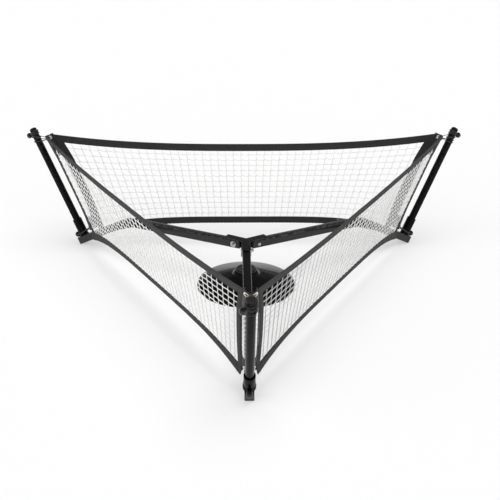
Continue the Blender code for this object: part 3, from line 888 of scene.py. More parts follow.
def eyelet_distance(end):
    """How far up the corner line the eyelets are; end 0 is the bottom pair."""
    return STRIP_END - EYELET_IN if end else STRIP_FROM + EYELET_IN


def eyelet(end, side):
    """An eyelet's middle and facing in the corner's frame."""
    distance = np.array([eyelet_distance(end)])
    aside = strip_turn(side * EYELET_APART, distance)
    return strip_at(aside, distance)[0], strip_facing(aside, distance)[0]


def staircases(columns, rows):
    """Twines of a knotless net in lattice units. Each goes right, up, right, up through the
    lattice; at every lattice point it runs beside its neighbour for a joint along the diagonal.
    Yields the points of each twine as (column, row) with the side that it keeps to."""
    for start in range(-rows, columns):
        steps = np.arange(2 * (columns + rows))
        i, j = start + (steps + 1) // 2, steps // 2
        keep = (i >= 0) & (j >= 0) & (i <= columns) & (j <= rows)
        if keep.sum() > 1:
            yield i[keep], j[keep], np.where(steps[keep] % 2, -1.0, 1.0)


def twines(surface, columns, rows, pitch, radius, joint, sides=6):
    """Tubes of netting over surface(t, v), which returns points and facings: for each joint the
    twine's points along the diagonal, kept a radius aside. The twine thins where it goes in
    under a tape, at the lattice's border."""
    steps = np.array([-1.25, -0.75, 0.0, 0.75, 1.25]) * joint / 2
    hug = np.array([0.45, 0.95, 1.0, 0.95, 0.45]) * radius
    half = math.sqrt(0.5)
    for i, j, side in staircases(columns, rows):
        along, away = steps[None, :] * half, side[:, None] * hug[None, :] * half
        column = i[:, None] + (along + away) / pitch[0]
        row = j[:, None] + (along - away) / pitch[1]
        column, row = (np.clip(x, 0, most).ravel() for x, most in ((column, columns), (row, rows)))
        fresh = np.concatenate([[True], (abs(np.diff(column)) + abs(np.diff(row))) > 0.02])
        if fresh.sum() < 3:
            continue
        column, row = column[fresh], row[fresh]
        border = np.minimum(np.minimum(column, columns - column), np.minimum(row, rows - row))
        points, facing = surface(2 * column / columns - 1, row / rows)
        yield tube(points, radius * (0.72 + 0.28 * np.clip(border / 0.4, 0, 1)), facing, sides)


# ---------------------------------------------------------------- what a user may change


def length(name, text, value):
    return FloatProperty(name=name, description=text, default=value, min=0, unit="LENGTH")


def count(name, text, value):
    return IntProperty(name=name, description=text, default=value, min=1)


def colour(name, text, *value):
    words = {"name": name, "description": text, "default": value, "size": 3}
    return FloatVectorProperty(subtype="COLOR", min=0, max=1, **words)


class RebounderSizes(bpy.types.PropertyGroup):
    """Sizes of the details that the CAD model leaves plain."""

    tube_corner: length("Tube corner", "Radius of the square tubes' outer corners", 0.0032)
    plate_corner: length("Plate corner", "Radius of the hub plate's corners", 0.004)
    weld: length("Weld", "Radius of the bead round each post socket", 0.002)
    strip_columns: count("Strip columns", "Meshes across a corner strip", 4)
    net_columns: count("Net columns", "Meshes across a panel", 45)
    net_rows: count("Net rows", "Meshes up a panel", 13)
    strip_rows: count("Strip rows", "Meshes up a corner strip", 12)
    twine: length("Twine", "Radius of the netting's twine", 0.0014)
    joint: length("Joint", "Length of the joint between two twines", 0.004)
    tuck: length("Tuck", "How far the netting reaches under the tape", 0.006)
    tape: length("Tape", "Thickness of the folded tape", 0.0032)
    stitch: length("Stitch", "Length of one stitch", 0.005)
    thread: length("Thread", "Radius of the sewing thread", 0.0006)
    seam: length("Seam", "Distance of a seam from the tape's edge", 0.0055)
    hem: length("Hem", "Width of the tape along each side of the front corner strip", 0.0075)
    back_hem: length("Back hem", "The same for the two back corners", 0.0155)
    elastic: length("Elastic", "Radius of the elastic cord", 0.00115)
    eyelet: length("Eyelet", "Outer radius of an eyelet's ring", 0.0105)


class RebounderColours(bpy.types.PropertyGroup):
    """Colours of the finishes."""

    paint: colour("Frame paint", "Powder coat of the arms and hub", 0.006, 0.006, 0.0063)
    gloss: colour("Post paint", "Glossy paint of the posts", 0.003, 0.003, 0.0032)
    zinc: colour("Zinc", "Plating of the bolts, washers and nuts", 0.72, 0.72, 0.70)
    plastic: colour("Plastic", "End plugs, post caps and the base's ring", 0.014, 0.014, 0.0145)
    ball: colour("Ball", "Balls on the elastic loops", 0.008, 0.008, 0.008)
    base: colour("Base", "The weighted base", 0.006, 0.006, 0.006)
    cement: colour("Ballast", "Cement inside the base", 0.33, 0.32, 0.30)
    elastic: colour("Elastic", "Cover of the elastic cord", 0.016, 0.016, 0.017)
    netting: colour("Netting", "Twine of the net", 0.95, 0.95, 0.94)
    webbing: colour("Webbing", "Tape round each panel", 0.024, 0.024, 0.025)
    patch: colour("Patch", "Reinforcement at the net's corners", 0.020, 0.020, 0.021)
    thread: colour("Thread", "Sewing thread on the tape", 0.014, 0.014, 0.015)
    metal: colour("Eyelets", "Rings of the net's eyelets", 0.86, 0.77, 0.67)
    floor: colour("Floor", "The studio floor", 0.46, 0.46, 0.46)


def fitted(made, body, slot, *nodes):
    """Puts a finished piece on its body and hides the solids it stands for; slot is not used."""
    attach(made, body)
    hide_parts(*nodes)
    return made


class Maker:
    """What the operators share: their options, and how they read the user's settings."""

    bl_options = {"REGISTER", "UNDO"}

    def settings(self, context):
        return context.scene.rebounder_sizes, context.scene.rebounder_colours


# ---------------------------------------------------------------- operators


class REBOUNDER_OT_arms(Maker, bpy.types.Operator):
    """Bent square tubes with round corners, open at the hub"""

    bl_idname = "rebounder.arms"
    bl_label = "Arms"

    def execute(self, context):
        sizes, colours = self.settings(context)
        for name in CORNERS:
            shape = Shape(corner_frame(name))
            points, edge_wear_and_highlight = self.wall(sizes.tube_corner)
            shape.skin(points, (True, True), edge_wear_and_highlight=edge_wear_and_highlight)
            made = shape.build(f"square_arm_{name}", paint_finish(colours))
            fitted(made, "frame", "painted_steel", f"arm_{name}")
        return {"FINISHED"}

    def centreline(self):
        """(radius, height) down the middle of the arm and the slope there: a straight run, a
        circular bend between the two slopes, and a straight run to the foot."""
        hub, foot = np.array([0, HUB_Z]), FOOT_CENTRE
        fall = foot[1] + foot[0] * math.tan(SLOPE) - HUB_Z
        knee_r = fall / (math.tan(SLOPE) - math.tan(RUN_SLOPE))
        knee = np.array([knee_r, HUB_Z - knee_r * math.tan(RUN_SLOPE)])
        back = BEND_R * math.tan((SLOPE - RUN_SLOPE) / 2)
        centre = knee - heading(RUN_SLOPE) * back - upward(RUN_SLOPE) * BEND_R
        slopes = np.linspace(RUN_SLOPE, SLOPE, 25)
        bend = centre + upward(slopes) * BEND_R
        start = hub + heading(RUN_SLOPE) * (ARM_INNER_R + np.array([[0], [0.0006]]))
        end = foot - heading(SLOPE) * (PLUG_HEAD + GAP + np.array([[0.0006], [0]]))
        slopes = np.concatenate([[RUN_SLOPE] * 2, slopes, [SLOPE] * 2])
        return np.concatenate([start, bend, end]), slopes

    def wall(self, corner):
        """Square rings out along the outside and back along the bore, joined at both ends."""
        line, slopes = self.centreline()
        soft = np.zeros((len(line), 1))
        soft[[0, -1]] = 0.0005
        rings, masks = [], []
        for half, round_r, way in ((TUBE / 2, corner, 1), (TUBE / 2 - TUBE_WALL, 0.0012, -1)):
            change = -soft if way > 0 else soft
            a, b, edge_wear_and_highlight = rounded_square(half + change, np.full_like(soft, round_r) + change)
            up = upward(slopes)[:, None]
            flat = line[:, None] + b[..., None] * up
            rings.append(np.stack([flat[..., 0], a, flat[..., 1]], -1)[::way])
            # Only the outer corners are marked, for the edges that the paint makes lighter as wear
            # and as a painted highlight.
            masks.append(np.broadcast_to(edge_wear_and_highlight, a.shape)[::way] * (way > 0))
        return np.concatenate(rings), np.concatenate(masks)


class REBOUNDER_OT_end_plugs(Maker, bpy.types.Operator):
    """Square plastic plugs in the ends of the arms"""

    bl_idname = "rebounder.end_plugs"
    bl_label = "End plugs"

    def execute(self, context):
        _, colours = self.settings(context)
        levels = [(-0.018, 0.0120, 0.001), (-0.0172, 0.0126, 0.0012), (-0.003, 0.0126, 0.0012)]
        levels += [(-0.003, 0.0147, 0.003), (-0.0026, 0.015, 0.0032), (-0.0012, 0.015, 0.0032)]
        levels += [(-0.0004, 0.0148, 0.0031), (0, 0.0141, 0.0029), (0, 0.0136, 0.0027)]
        levels += [(-0.0007, 0.013, 0.0024), (-0.0007, 0.004, 0.001)]
        for name in CORNERS:
            place = corner_frame(name) @ moved(FOOT_CENTRE[0], 0, FOOT_CENTRE[1])
            shape = Shape(place @ spun(math.pi / 2 + SLOPE, "Y"))
            points, edge_wear_and_highlight = stacked(levels)
            shape.skin(points, caps=True, edge_wear_and_highlight=edge_wear_and_highlight)
            made = shape.build(f"end_plug_{name}", plastic_finish(colours), 50)
            fitted(made, "frame", "black_plastic", f"arm_plug_{name}")
        return {"FINISHED"}


class REBOUNDER_OT_hub(Maker, bpy.types.Operator):
    """The three-armed hub plate, its sleeve, and the stubs inside the arms"""

    bl_idname = "rebounder.hub"
    bl_label = "Hub"

    def execute(self, context):
        sizes, colours = self.settings(context)
        paint = paint_finish(colours)
        plate = Shape()
        top = PLATE_BOTTOM + PLATE_THICK
        inset = np.array([0.5, 0.0, 0.0, 0.0, 0.25, 0.8, 1.4]) * 0.001
        z = [PLATE_BOTTOM, PLATE_BOTTOM + 0.0005, top - 0.0015, top - 0.0009, top - 0.0003]
        points, edge_wear_and_highlight = self.outline(inset, np.array([*z, top, top]), sizes.plate_corner)
        plate.skin(points, caps=True, edge_wear_and_highlight=edge_wear_and_highlight)
        fitted(plate.build("hub_star_plate", paint, 50), "frame", "painted_steel", "hub_plate")
        sleeve = Shape()
        wall = pipe(STEM_R + GAP, HUB_SOCKET_R, HUB_SOCKET_BOTTOM, PLATE_BOTTOM - GAP, 0.0008)
        sleeve.skin(turned(wall, 64), (True, True))
        fitted(sleeve.build("hub_sleeve", paint), "frame", "painted_steel", "hub_socket")
        for name in CORNERS:
            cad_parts[f"arm_stub_{name}"].data.materials[0] = paint
        return {"FINISHED"}

    def outline(self, inset, z, corner):
        """The plate's outline for each inset: two convex arcs at the end of each arm, whose
        radius shrinks by the inset, and one concave arc in each notch, whose radius grows."""
        inset, half, notch = inset[:, None], PLATE_WIDTH / 2, 0.006
        arc = np.linspace(0, math.pi / 2, 6)
        dip = np.linspace(1.5 * math.pi, math.pi * 7 / 6, 7)
        away = (half + notch) / math.sin(math.pi / 3)
        parts = []
        for x, y, radius, angle in (
            (PLATE_REACH - corner, corner - half, corner - inset, arc - math.pi / 2),
            (PLATE_REACH - corner, half - corner, corner - inset, arc),
            (away * math.cos(math.pi / 3), away * math.sin(math.pi / 3), notch + inset, dip),
        ):
            parts.append(np.stack([x + radius * np.cos(angle), y + radius * np.sin(angle)], -1))
        arm = np.concatenate(parts, 1)
        points = []
        for angle in sorted(CORNERS.values()):
            c, s = math.cos(math.radians(angle)), math.sin(math.radians(angle))
            points.append(arm @ np.array([[c, s], [-s, c]]))
        flat = np.concatenate(points, 1)
        high = np.broadcast_to(z[:, None, None], (*flat.shape[:2], 1))
        # The rim's upper rows are marked for the lighter edge paint: wear and a painted highlight.
        edge_wear_and_highlight = np.zeros(len(z))
        edge_wear_and_highlight[3:5] = 1
        return np.concatenate([flat, high], -1), edge_wear_and_highlight[:, None]


class REBOUNDER_OT_fasteners(Maker, bpy.types.Operator):
    """Socket-head bolts, washers and hexagon nuts"""

    bl_idname = "rebounder.fasteners"
    bl_label = "Bolts"

    def execute(self, context):
        _, colours = self.settings(context)
        zinc = zinc_finish(colours)
        face = TUBE / 2 + GAP
        nut_at = face + WASHER_THICK + GAP
        for name in CORNERS:
            bolt = Shape(bolt_frame(name, -face))
            bolt.skin(self.head())
            bolt.skin(self.shank(), caps=True)
            made = bolt.build(f"hub_bolt_{name}", zinc, 40)
            fitted(made, "frame", "zinc_steel", f"bolt_{name}")
            washer = Shape(bolt_frame(name, face))
            ring = pipe(BOLT_HOLE, WASHER_R, 0, WASHER_THICK, 0.0004)
            washer.skin(turned(ring, 48), (True, True))
            made = washer.build(f"hub_washer_{name}", zinc)
            fitted(made, "frame", "zinc_steel", f"washer_{name}")
            nut = Shape(bolt_frame(name, nut_at))
            nut.skin(self.nut(), (True, True))
            made = nut.build(f"hub_nut_{name}", zinc, 25)
            fitted(made, "frame", "zinc_steel", f"nut_{name}")
        return {"FINISHED"}

    def hexagon(self, flat, angle):
        """The radius of a hexagon at each angle: its flat's distance over the cosine of the
        angle from the nearest flat."""
        return flat / np.cos((angle + math.pi / 6) % (math.pi / 3) - math.pi / 6)

    def head(self):
        """The head from the bottom of its hexagon socket, over a dome whose radius grows by a
        sine while its height grows by a power of one less a cosine, to under the head."""
        angle, key, deep, top_r = turns(48), 0.0022, 0.0022, 0.0030
        hexagon = self.hexagon(key, angle)
        quarter = np.linspace(0, math.pi / 2, 8)
        dome_r = top_r + (BOLT_HEAD_R - top_r) * np.sin(quarter)
        dome_z = -BOLT_HEAD + (BOLT_HEAD - 0.0008) * (1 - np.cos(quarter)) ** 1.2
        rings = [(0.05 * hexagon, -deep), (hexagon, -deep)]
        rings += [(hexagon * 1.03, -BOLT_HEAD + 0.0002), *zip(dome_r, dome_z)]
        rings += [(BOLT_HEAD_R, -0.0002), (0.0070, 0.0), (0.0039, 0.0)]
        return np.stack([around_z(r, z, angle) for r, z in rings])

    def shank(self):
        """The shank: a cylinder whose last part has a thread, the radius less a cosine ridge of
        z over the pitch less the turn."""
        end = TUBE + 2 * GAP + WASHER_THICK + NUT_THICK + GAP + BOLT_END
        threaded = np.linspace(THREAD_FROM, end - 0.0006, 60)
        z = np.concatenate([[0.0002], threaded, [end - 0.0002, end]])[:, None]
        angle = turns(24)[None, :]
        ridge = 0.5 + 0.5 * np.cos(TURN * z / THREAD_PITCH - angle)
        cut = np.clip((z - THREAD_FROM) / 0.001, 0, 1) * 0.0005
        r = BOLT_SHANK - cut * ridge
        r[-2:] = [[0.0034], [0.0030]]
        return around_z(r, z, angle)

    def nut(self):
        """A hexagon whose corners are cut by a cone on both faces, round a chamfered hole."""
        angle, hole, mouth, face, deep = turns(72), 0.0041, 0.0047, 0.0064, 0.0006
        hexagon = self.hexagon(NUT_FLAT, angle)
        cone = np.maximum(0, hexagon - face) * math.tan(math.pi / 6)
        rows = [(hole, deep), (mouth, 0.0), (face, 0.0), (hexagon, cone + 0.0001)]
        rows += [(hexagon, NUT_THICK - cone - 0.0001), (face, NUT_THICK), (mouth, NUT_THICK)]
        rows += [(hole, NUT_THICK - deep)]
        return np.stack([around_z(r, z, angle) for r, z in rows])


class REBOUNDER_OT_posts(Maker, bpy.types.Operator):
    """Post sockets with their weld beads, the posts and their caps"""

    bl_idname = "rebounder.posts"
    bl_label = "Posts"

    def execute(self, context):
        sizes, colours = self.settings(context)
        for name in CORNERS:
            socket = Shape(post_frame(name))
            socket.skin(turned(self.socket(), 64), (True, True))
            socket.skin(self.bead(sizes.weld), (True, True))
            made = socket.build(f"welded_socket_{name}", gloss_finish(colours))
            fitted(made, "frame", "painted_steel", f"post_socket_{name}")
            post = Shape(post_frame(name))
            wall = pipe(POST_R - POST_WALL, POST_R, POST_FROM, POST_TO, 0.0005)
            # The top rim is marked for the lighter edge paint: wear and a painted highlight.
            edge_wear_and_highlight = np.where(wall[:, 1] > POST_TO - 0.001, 1.0, 0.0)[:, None]
            post.skin(turned(wall, 64), (True, True), edge_wear_and_highlight=edge_wear_and_highlight)
            made = post.build(f"round_post_{name}", gloss_finish(colours))
            fitted(made, f"post_{name}", "post_paint", f"post_{name}")
            cap = Shape(post_frame(name))
            cap.skin(turned(self.cap(), 48), caps=True)
            made = cap.build(f"domed_cap_{name}", plastic_finish(colours), 40)
            fitted(made, f"post_{name}", "black_plastic", f"post_cap_{name}")
        return {"FINISHED"}

    def socket(self):
        """The socket's wall, with a mouth that is opened out round the post."""
        corners = [(SOCKET_BORE, GAP), (SOCKET_R, GAP), (SOCKET_R, SOCKET_LENGTH)]
        corners += [(0.0164, SOCKET_LENGTH), (SOCKET_BORE, SOCKET_LENGTH - 0.005)]
        return filleted(corners, 0.0006)

    def bead(self, radius):
        """A ring whose section swells a little at every ripple of the weld."""
        angle, section = turns(144)[:, None], turns(10)[None, :]
        swell = radius * (1 + 0.13 * abs(np.sin(26 * angle)))
        r = SOCKET_R - 0.0002 + swell * np.cos(section)
        z = 0.0006 + swell * np.sin(section) * 0.9
        return around_z(r, z, angle)[:, ::-1]

    def cap(self):
        """The cap's profile: a plug inside the post with a low dome, an ellipse of the plug's
        radius and the head's height."""
        inside, low = POST_R - POST_WALL - GAP, POST_TO - CAP_DEPTH
        corners = [(0.002, low), (inside - 0.001, low), (inside, low + 0.002), (inside, POST_TO)]
        angle = np.linspace(0, math.pi / 2 - 0.1, 14)[1:]
        dome = np.stack([inside * np.cos(angle), POST_TO + CAP_HEAD * np.sin(angle)], -1)
        return np.concatenate([filleted(corners, 0.0006, 4, closed=False), dome])


class REBOUNDER_OT_netting(Maker, bpy.types.Operator):
    """Knotless white netting of the three panels"""

    bl_idname = "rebounder.netting"
    bl_label = "Netting"

    def execute(self, context):
        sizes, colours = self.settings(context)
        finish = netting_finish(colours, sizes.twine)
        lattice = (sizes.net_columns, sizes.net_rows, NET_PITCH)
        for name in PANELS:
            sheet = Sheet(TOP_SAG[name])

            def surface(t, v):
                return sheet.netting_at(t, v, sizes.tuck), np.tile([0.0, 0.0, 1.0], (len(t), 1))

            shape = Shape(panel_frame(name))
            for rings in twines(surface, *lattice, sizes.twine, sizes.joint):
                shape.skin(rings, caps=True)
            made = shape.build(f"netting_{name}", finish, 60)
            fitted(made, "frame", "netting", f"net_{name}")
        return {"FINISHED"}


class REBOUNDER_OT_webbing(Maker, bpy.types.Operator):
    """Woven tape along the top, bottom and sides of each panel, with its stitching"""

    bl_idname = "rebounder.webbing"
    bl_label = "Webbing"

    def execute(self, context):
        for name in PANELS:
            sheet = Sheet(TOP_SAG[name])
            strips = [(self.top_edges(sheet), 9, TOP_SCALLOP_DEPTH)]
            top, seams = self.sewn("top", name, strips, *self.settings(context))
            strips = [(self.bottom_edges(sheet), 3, SCALLOP_DEPTH)]
            for side, seed in ((-1, 5), (1, 7)):
                strips.append((self.side_edges(sheet, side), seed, SCALLOP_DEPTH))
            lower, seams = self.sewn("lower", name, strips, *self.settings(context))
        return {"FINISHED"}

    def sewn(self, word, name, strips, sizes, colours):
        """A tape of a panel and its stitching. Each strip is its two edge lines, a seed that
        shifts its ripples along, and how deep the scallops of its second edge are."""
        tape, seams = Shape(panel_frame(name)), Shape(panel_frame(name))
        for strip in strips:
            self.tape(tape, sizes, *strip)
            self.stitching(seams, sizes, *strip)
        tape = tape.build(f"{word}_tape_{name}", webbing_finish(colours), 50)
        seams = seams.build(f"{word}_seams_{name}", thread_finish(colours), 60)
        fitted(tape, "frame", "webbing", f"{word}_webbing_{name}")
        return tape, fitted(seams, "frame", "webbing")

    def top_edges(self, sheet):
        across = np.linspace(-1, 1, 301)
        return [sheet.under_top(across, down, outer_half) for down in (0, TOP_BAND)]

    def bottom_edges(self, sheet):
        """The bottom tape's inner edge, and its free edge, which hangs down and turns outwards
        near its ends by a power of the distance from the middle."""
        across = np.linspace(-1, 1, 301)
        low = [sheet.over_bottom(across, up, outer_half) for up in (BOTTOM_BAND, 0)]
        inner, free = (np.column_stack([line, 0 * across]) for line in low)
        return [inner, free + abs(across)[:, None] ** CURL_POWER * CURL]

    def side_edges(self, sheet, side):
        end = np.array([1.0])
        high = sheet.under_top(end, TOP_BAND * 0.8, outer_half)[0, 1]
        low = sheet.over_bottom(end, BOTTOM_BAND * 0.2, outer_half)[0, 1]
        s = np.linspace(low, high, 90)
        edges = [np.stack([side * half(s), s], -1) for half in (outer_half, inner_half)]
        return edges[::side]

    def surface(self, edges, q, h, thick, seed, depth):
        """A point of a tape between two edge lines: q across and h through it, rippled out of
        its plane by three sines of the distance along. Its second edge is drawn out in
        scallops, the absolute value of a sine."""
        first, second = edges
        run = line_length(first)
        d = run[:, None]
        rolls = [most * np.sin(d * rate + (i + 1) * seed) for i, (rate, most) in enumerate(RIPPLES)]
        ripple = rolls[0] + rolls[1] + rolls[2] * (2 * q - 1)
        pull = depth * abs(np.sin(math.pi * d / SCALLOP)) * np.maximum(0, q - 0.5) * 2
        q = q + pull / TAPE_WIDTH
        flat = first[:, None] * (1 - q)[..., None] + second[:, None] * q[..., None]
        out = flat[..., 2:].sum(-1) + h * thick / 2 + ripple
        return np.concatenate([flat[..., :2], out[..., None]], -1), run

    def tape(self, shape, sizes, edges, seed, depth):
        q, h = tape_section()
        points, run = self.surface(edges, q[None, :], h[None, :], sizes.tape, seed, depth)
        width = np.linalg.norm(edges[0] - edges[1], axis=1).mean()
        edge_wear_and_highlight = np.clip(abs(q - 0.5) * 2 - 0.9, 0, 0.1) * 10
        chart = (run, np.append(q, q[0]) * width)
        shape.skin(points, caps=True, edge_wear_and_highlight=edge_wear_and_highlight[None, :], chart=chart)

    def stitching(self, shape, sizes, edges, seed, depth):
        """Thread along each seam on both faces: it follows the tape and dips into it once for
        each stitch, by the fourth power of a cosine."""
        run = line_length(edges[0])
        at = np.linspace(0.004, run[-1] - 0.004, int(run[-1] / sizes.stitch) * 5)
        fine = [np.stack([np.interp(at, run, part) for part in edge.T], -1) for edge in edges]
        width = np.linalg.norm(fine[0] - fine[1], axis=1)
        dip = np.cos(math.pi * at / sizes.stitch) ** 4
        for margin in (sizes.seam / width, 1 - sizes.seam / width):
            for face in (-1, 1):
                h = face * (1 + (0.35 - 1.1 * dip) * sizes.thread * 2 / sizes.tape)
                across, through = margin[:, None], h[:, None]
                points, _ = self.surface(fine, across, through, sizes.tape, seed, depth)
                lift = np.array([0, 0, 1.0])
                shape.skin(tube(points[:, 0], sizes.thread, lift, 5), caps=True)


class REBOUNDER_OT_corner_strips(Maker, bpy.types.Operator):
    """The net round each corner, its black patches and its eyelets"""

    bl_idname = "rebounder.corner_strips"
    bl_label = "Corner strips"

    def execute(self, context):
        sizes, colours = self.settings(context)
        finish = netting_finish(colours, sizes.twine)
        for name in CORNERS:
            shape = Shape(corner_frame(name))
            lattice = (sizes.strip_columns, sizes.strip_rows, STRIP_PITCH)
            for rings in twines(self.surface, *lattice, sizes.twine, sizes.joint):
                shape.skin(rings, caps=True)
            strip = shape.build(f"corner_netting_{name}", finish, 60)
            fitted(strip, "frame", "netting", f"corner_strip_{name}")
            hems = Shape(corner_frame(name))
            wide = sizes.hem if name == "front" else sizes.back_hem
            for side in (-1, 1):
                self.hem(hems, side, wide)
            hems = hems.build(f"corner_hems_{name}", webbing_finish(colours), 60)
            fitted(hems, "frame", "webbing")
            for end, word, far in ((0, "bottom", PATCH_BOTTOM), (1, "top", PATCH_TOP)):
                patch = Shape(corner_frame(name))
                for side in (-1, 1):
                    patch.skin(self.patch(end, side, far), (True, True))
                made = patch.build(f"patch_{word}_{name}", patch_finish(colours), 60)
                fitted(made, "frame", "webbing")
                rings = Shape(corner_frame(name))
                for side in (-1, 1):
                    rings.skin(self.ring(end, side, sizes.eyelet), (True, True))
                metal = rings.build(f"eyelets_{word}_{name}", eyelet_finish(colours), 60)
                fitted(metal, "frame", "zinc_steel")
        return {"FINISHED"}

    def surface(self, t, v):
        high = CORNER_LENGTH - STRIP_NET_SHORT
        distance = STRIP_NET_FROM + (high - STRIP_NET_FROM) * v
        return strip_at(t, distance), strip_facing(t, distance)

    def hem(self, shape, side, wide):
        """A tape along one side of the strip, from patch to patch."""
        q, h = tape_section()
        distance = np.linspace(HEM_FROM, CORNER_LENGTH - HEM_SHORT, 60)[:, None]
        edge = strip_turn_per_metre(distance) * wide
        aside = side * (SIDE_OVERLAP - edge * (q if side > 0 else 1 - q))
        points = strip_at(aside, distance + 0 * aside, h * HEM_THICK / 2)
        edge_wear_and_highlight = (abs(q - 0.5) > 0.45)[None, :] * 1.0
        chart = (distance[:, 0], np.append(q, q[0]) * wide)
        shape.skin(points, caps=True, edge_wear_and_highlight=edge_wear_and_highlight, chart=chart)

    def patch(self, end, side, far):
        """Half a patch round one eyelet: rings from the eyelet's hole out to the patch's edge on
        the outer face and back on the inner one. The edge is the strip's middle, its far end,
        its side and its near end."""
        first = STRIP_END - 0.0002 if end else STRIP_FROM + 0.0002
        away = -1 if end else 1
        eye = eyelet_distance(end)
        way = side * away
        edge = [(0, 0), (0, far), (0.5, far - 0.001), (1.0, far - 0.003)]
        edge = np.array([*edge, (SIDE_OVERLAP, far - 0.007), (SIDE_OVERLAP, 0)])
        run = line_length(edge * [STRIP_HALF_WIDTH, 1])
        line = np.linspace(0, run[-1], 49)
        closing = np.linspace(0, 1, 13)[1:-1]
        bound_a = np.concatenate([np.interp(line, run, edge[:, 0]), SIDE_OVERLAP * (1 - closing)])
        bound_d = np.concatenate([np.interp(line, run, edge[:, 1]), 0 * closing])
        middle_a = strip_turn(np.array(side * EYELET_APART), np.array(eye))
        scale = strip_turn_per_metre(np.array(eye))
        offset_a = (side * bound_a - middle_a) / scale
        offset_d = first + away * bound_d - eye
        hole = EYELET_HOLE / np.hypot(offset_a, offset_d)
        share = hole + (1 - hole) * np.linspace(0, 1, 9)[:, None]
        a = middle_a + scale * offset_a * share
        d = eye + offset_d * share
        thick = np.full(a.shape, PATCH_THICK / 2)
        thick[-1] = PATCH_EDGE / 2
        outer, inner = strip_at(a, d, thick), strip_at(a, d, -thick)
        rings = np.concatenate([outer, inner[::-1]])
        return rings if way > 0 else rings[:, ::-1]

    def ring(self, end, side, outer):
        """An eyelet: a barrel through the hole with a rolled flange on each face, turned about
        the way that the strip faces there."""
        centre, facing = eyelet(end, side)
        corners = [(0.0046, -0.0022), (0.0066, -0.0033), (outer, -0.0018), (0.0054, -0.0016)]
        corners += [(0.0054, 0.0016), (outer, 0.0018), (0.0066, 0.0033), (0.0046, 0.0022)]
        flat = turned(filleted(corners, 0.0012, 4), 40)
        across = unit(np.cross(facing, LEAN))
        along = np.cross(facing, across)
        return centre + flat @ np.stack([across, along, facing])


class REBOUNDER_OT_loops(Maker, bpy.types.Operator):
    """Elastic loops that tie the net's corners to the posts, each with its ball"""

    bl_idname = "rebounder.loops"
    bl_label = "Elastic loops"

    def execute(self, context):
        sizes, colours = self.settings(context)
        cord = elastic_finish(colours, sizes.elastic)
        for name in CORNERS:
            for end, word in enumerate(("bottom", "top")):
                swing = math.radians(BALL_SWING[name]) if end else 0.0
                shape = Shape(post_frame(name))
                for strand in (-1, 1):
                    for side in (-1, 1):
                        path, lift = self.half_loop(end, side, strand, swing, sizes.elastic)
                        shape.skin(tube(path, sizes.elastic, lift, 10), caps=True)
                made = shape.build(f"elastic_{word}_{name}", cord, 60)
                fitted(made, "frame", "elastic_cord", f"loop_{word}_{name}")
                ball = Shape(post_frame(name))
                ball.skin(self.ball(end, swing), caps=True)
                made = ball.build(f"bead_{word}_{name}", ball_finish(colours), 60)
                fitted(made, "frame", "ball_plastic", f"ball_{word}_{name}")
        return {"FINISHED"}

    def half_loop(self, end, side, strand, swing, cord):
        """One strand from the ball round the post to an eyelet: out of the ball, along a circle
        that climbs or falls with the angle, straight to the eyelet, and in behind the strip."""
        height = LOOP_TOP if end else LOOP_BOTTOM
        radius = (POST_R if end else SOCKET_R) + cord * (1.1 if side > 0 or not end else 2.5)
        centre, _ = eyelet(end, side)
        rel = centre - np.array([POST_FOOT[0], 0, POST_FOOT[1]])
        along, square = heading(SLOPE), upward(SLOPE)
        hole = np.array([rel[0] * along[0] + rel[2] * along[1], rel[1]])
        hole_z = rel[0] * square[0] + rel[2] * square[1]
        turn_in = math.atan2(side * hole[1], hole[0]) - math.acos(radius / math.hypot(*hole))
        start = side * swing + LOOP_START
        extra = LOOP_TURNS * TURN if end else 0.0
        spread = (LOOP_SPREAD if end else STRAND_APART) * strand
        leave = height - LOOP_DROP + LOOP_STEP * side + spread if end else height + spread
        angle = np.linspace(start, turn_in + extra, 140 if end else 30)
        k = np.linspace(0, 1, len(angle))
        rise = LOOP_CLIMB + LOOP_STEP * strand if end else 0.0
        climb = np.clip(k / 0.16, 0, 1) ** 2 * rise
        z = height + STRAND_APART * strand * np.clip(1 - k / 0.1, 0, 1) + climb
        z = z + (leave - height - climb[-1]) * np.clip((k - 0.12) / 0.88, 0, 1)
        wrap = np.stack([radius * np.cos(angle), side * radius * np.sin(angle), z], -1)
        ball = np.array([BALL_OUT * math.cos(swing), BALL_OUT * math.sin(swing), height])
        inward = unit(wrap[0] - ball)
        first = ball + inward * (BALL_R * 0.8)
        first[2] = height + 0.0012 * strand
        out = np.array([first, (first + wrap[0]) / 2])
        eye = np.array([hole[0], hole[1], hole_z + STRAND_APART * strand])
        last = wrap[-1]
        before = eye + np.array([0.008, 0, 0])
        way = [last + (before - last) * step for step in (0.25, 0.5, 0.75, 1.0)]
        behind = [(-0.001, 1.0), (-0.005, 0.85), (-0.0072, 0.5), (-0.0078, 0.0)]
        tail = [eye * [1, share, 1] + [step, 0, 0] for step, share in behind]
        path = np.concatenate([out, wrap, way, tail])
        lift = np.tile([0.0, 0.0, 1.0], (len(path), 1))
        return path, lift

    def ball(self, end, swing):
        """A sphere with a mould seam round its middle and a flat where the cord goes in, about
        the line to the post."""
        height = LOOP_TOP if end else LOOP_BOTTOM
        across = np.linspace(0.03, math.pi - 0.28, 30)
        seam = 1 - 0.022 * np.exp(-(((across - math.pi / 2) / 0.045) ** 2))
        profile = np.stack([BALL_R * np.sin(across) * seam, -BALL_R * np.cos(across)], -1)
        flat = turned(profile, 40)
        out = np.array([math.cos(swing), math.sin(swing), 0])
        aside = np.array([0, 0, 1.0])
        axes = np.stack([aside, np.cross(-out, aside), -out])
        return out * BALL_OUT + np.array([0, 0, height]) + flat @ axes


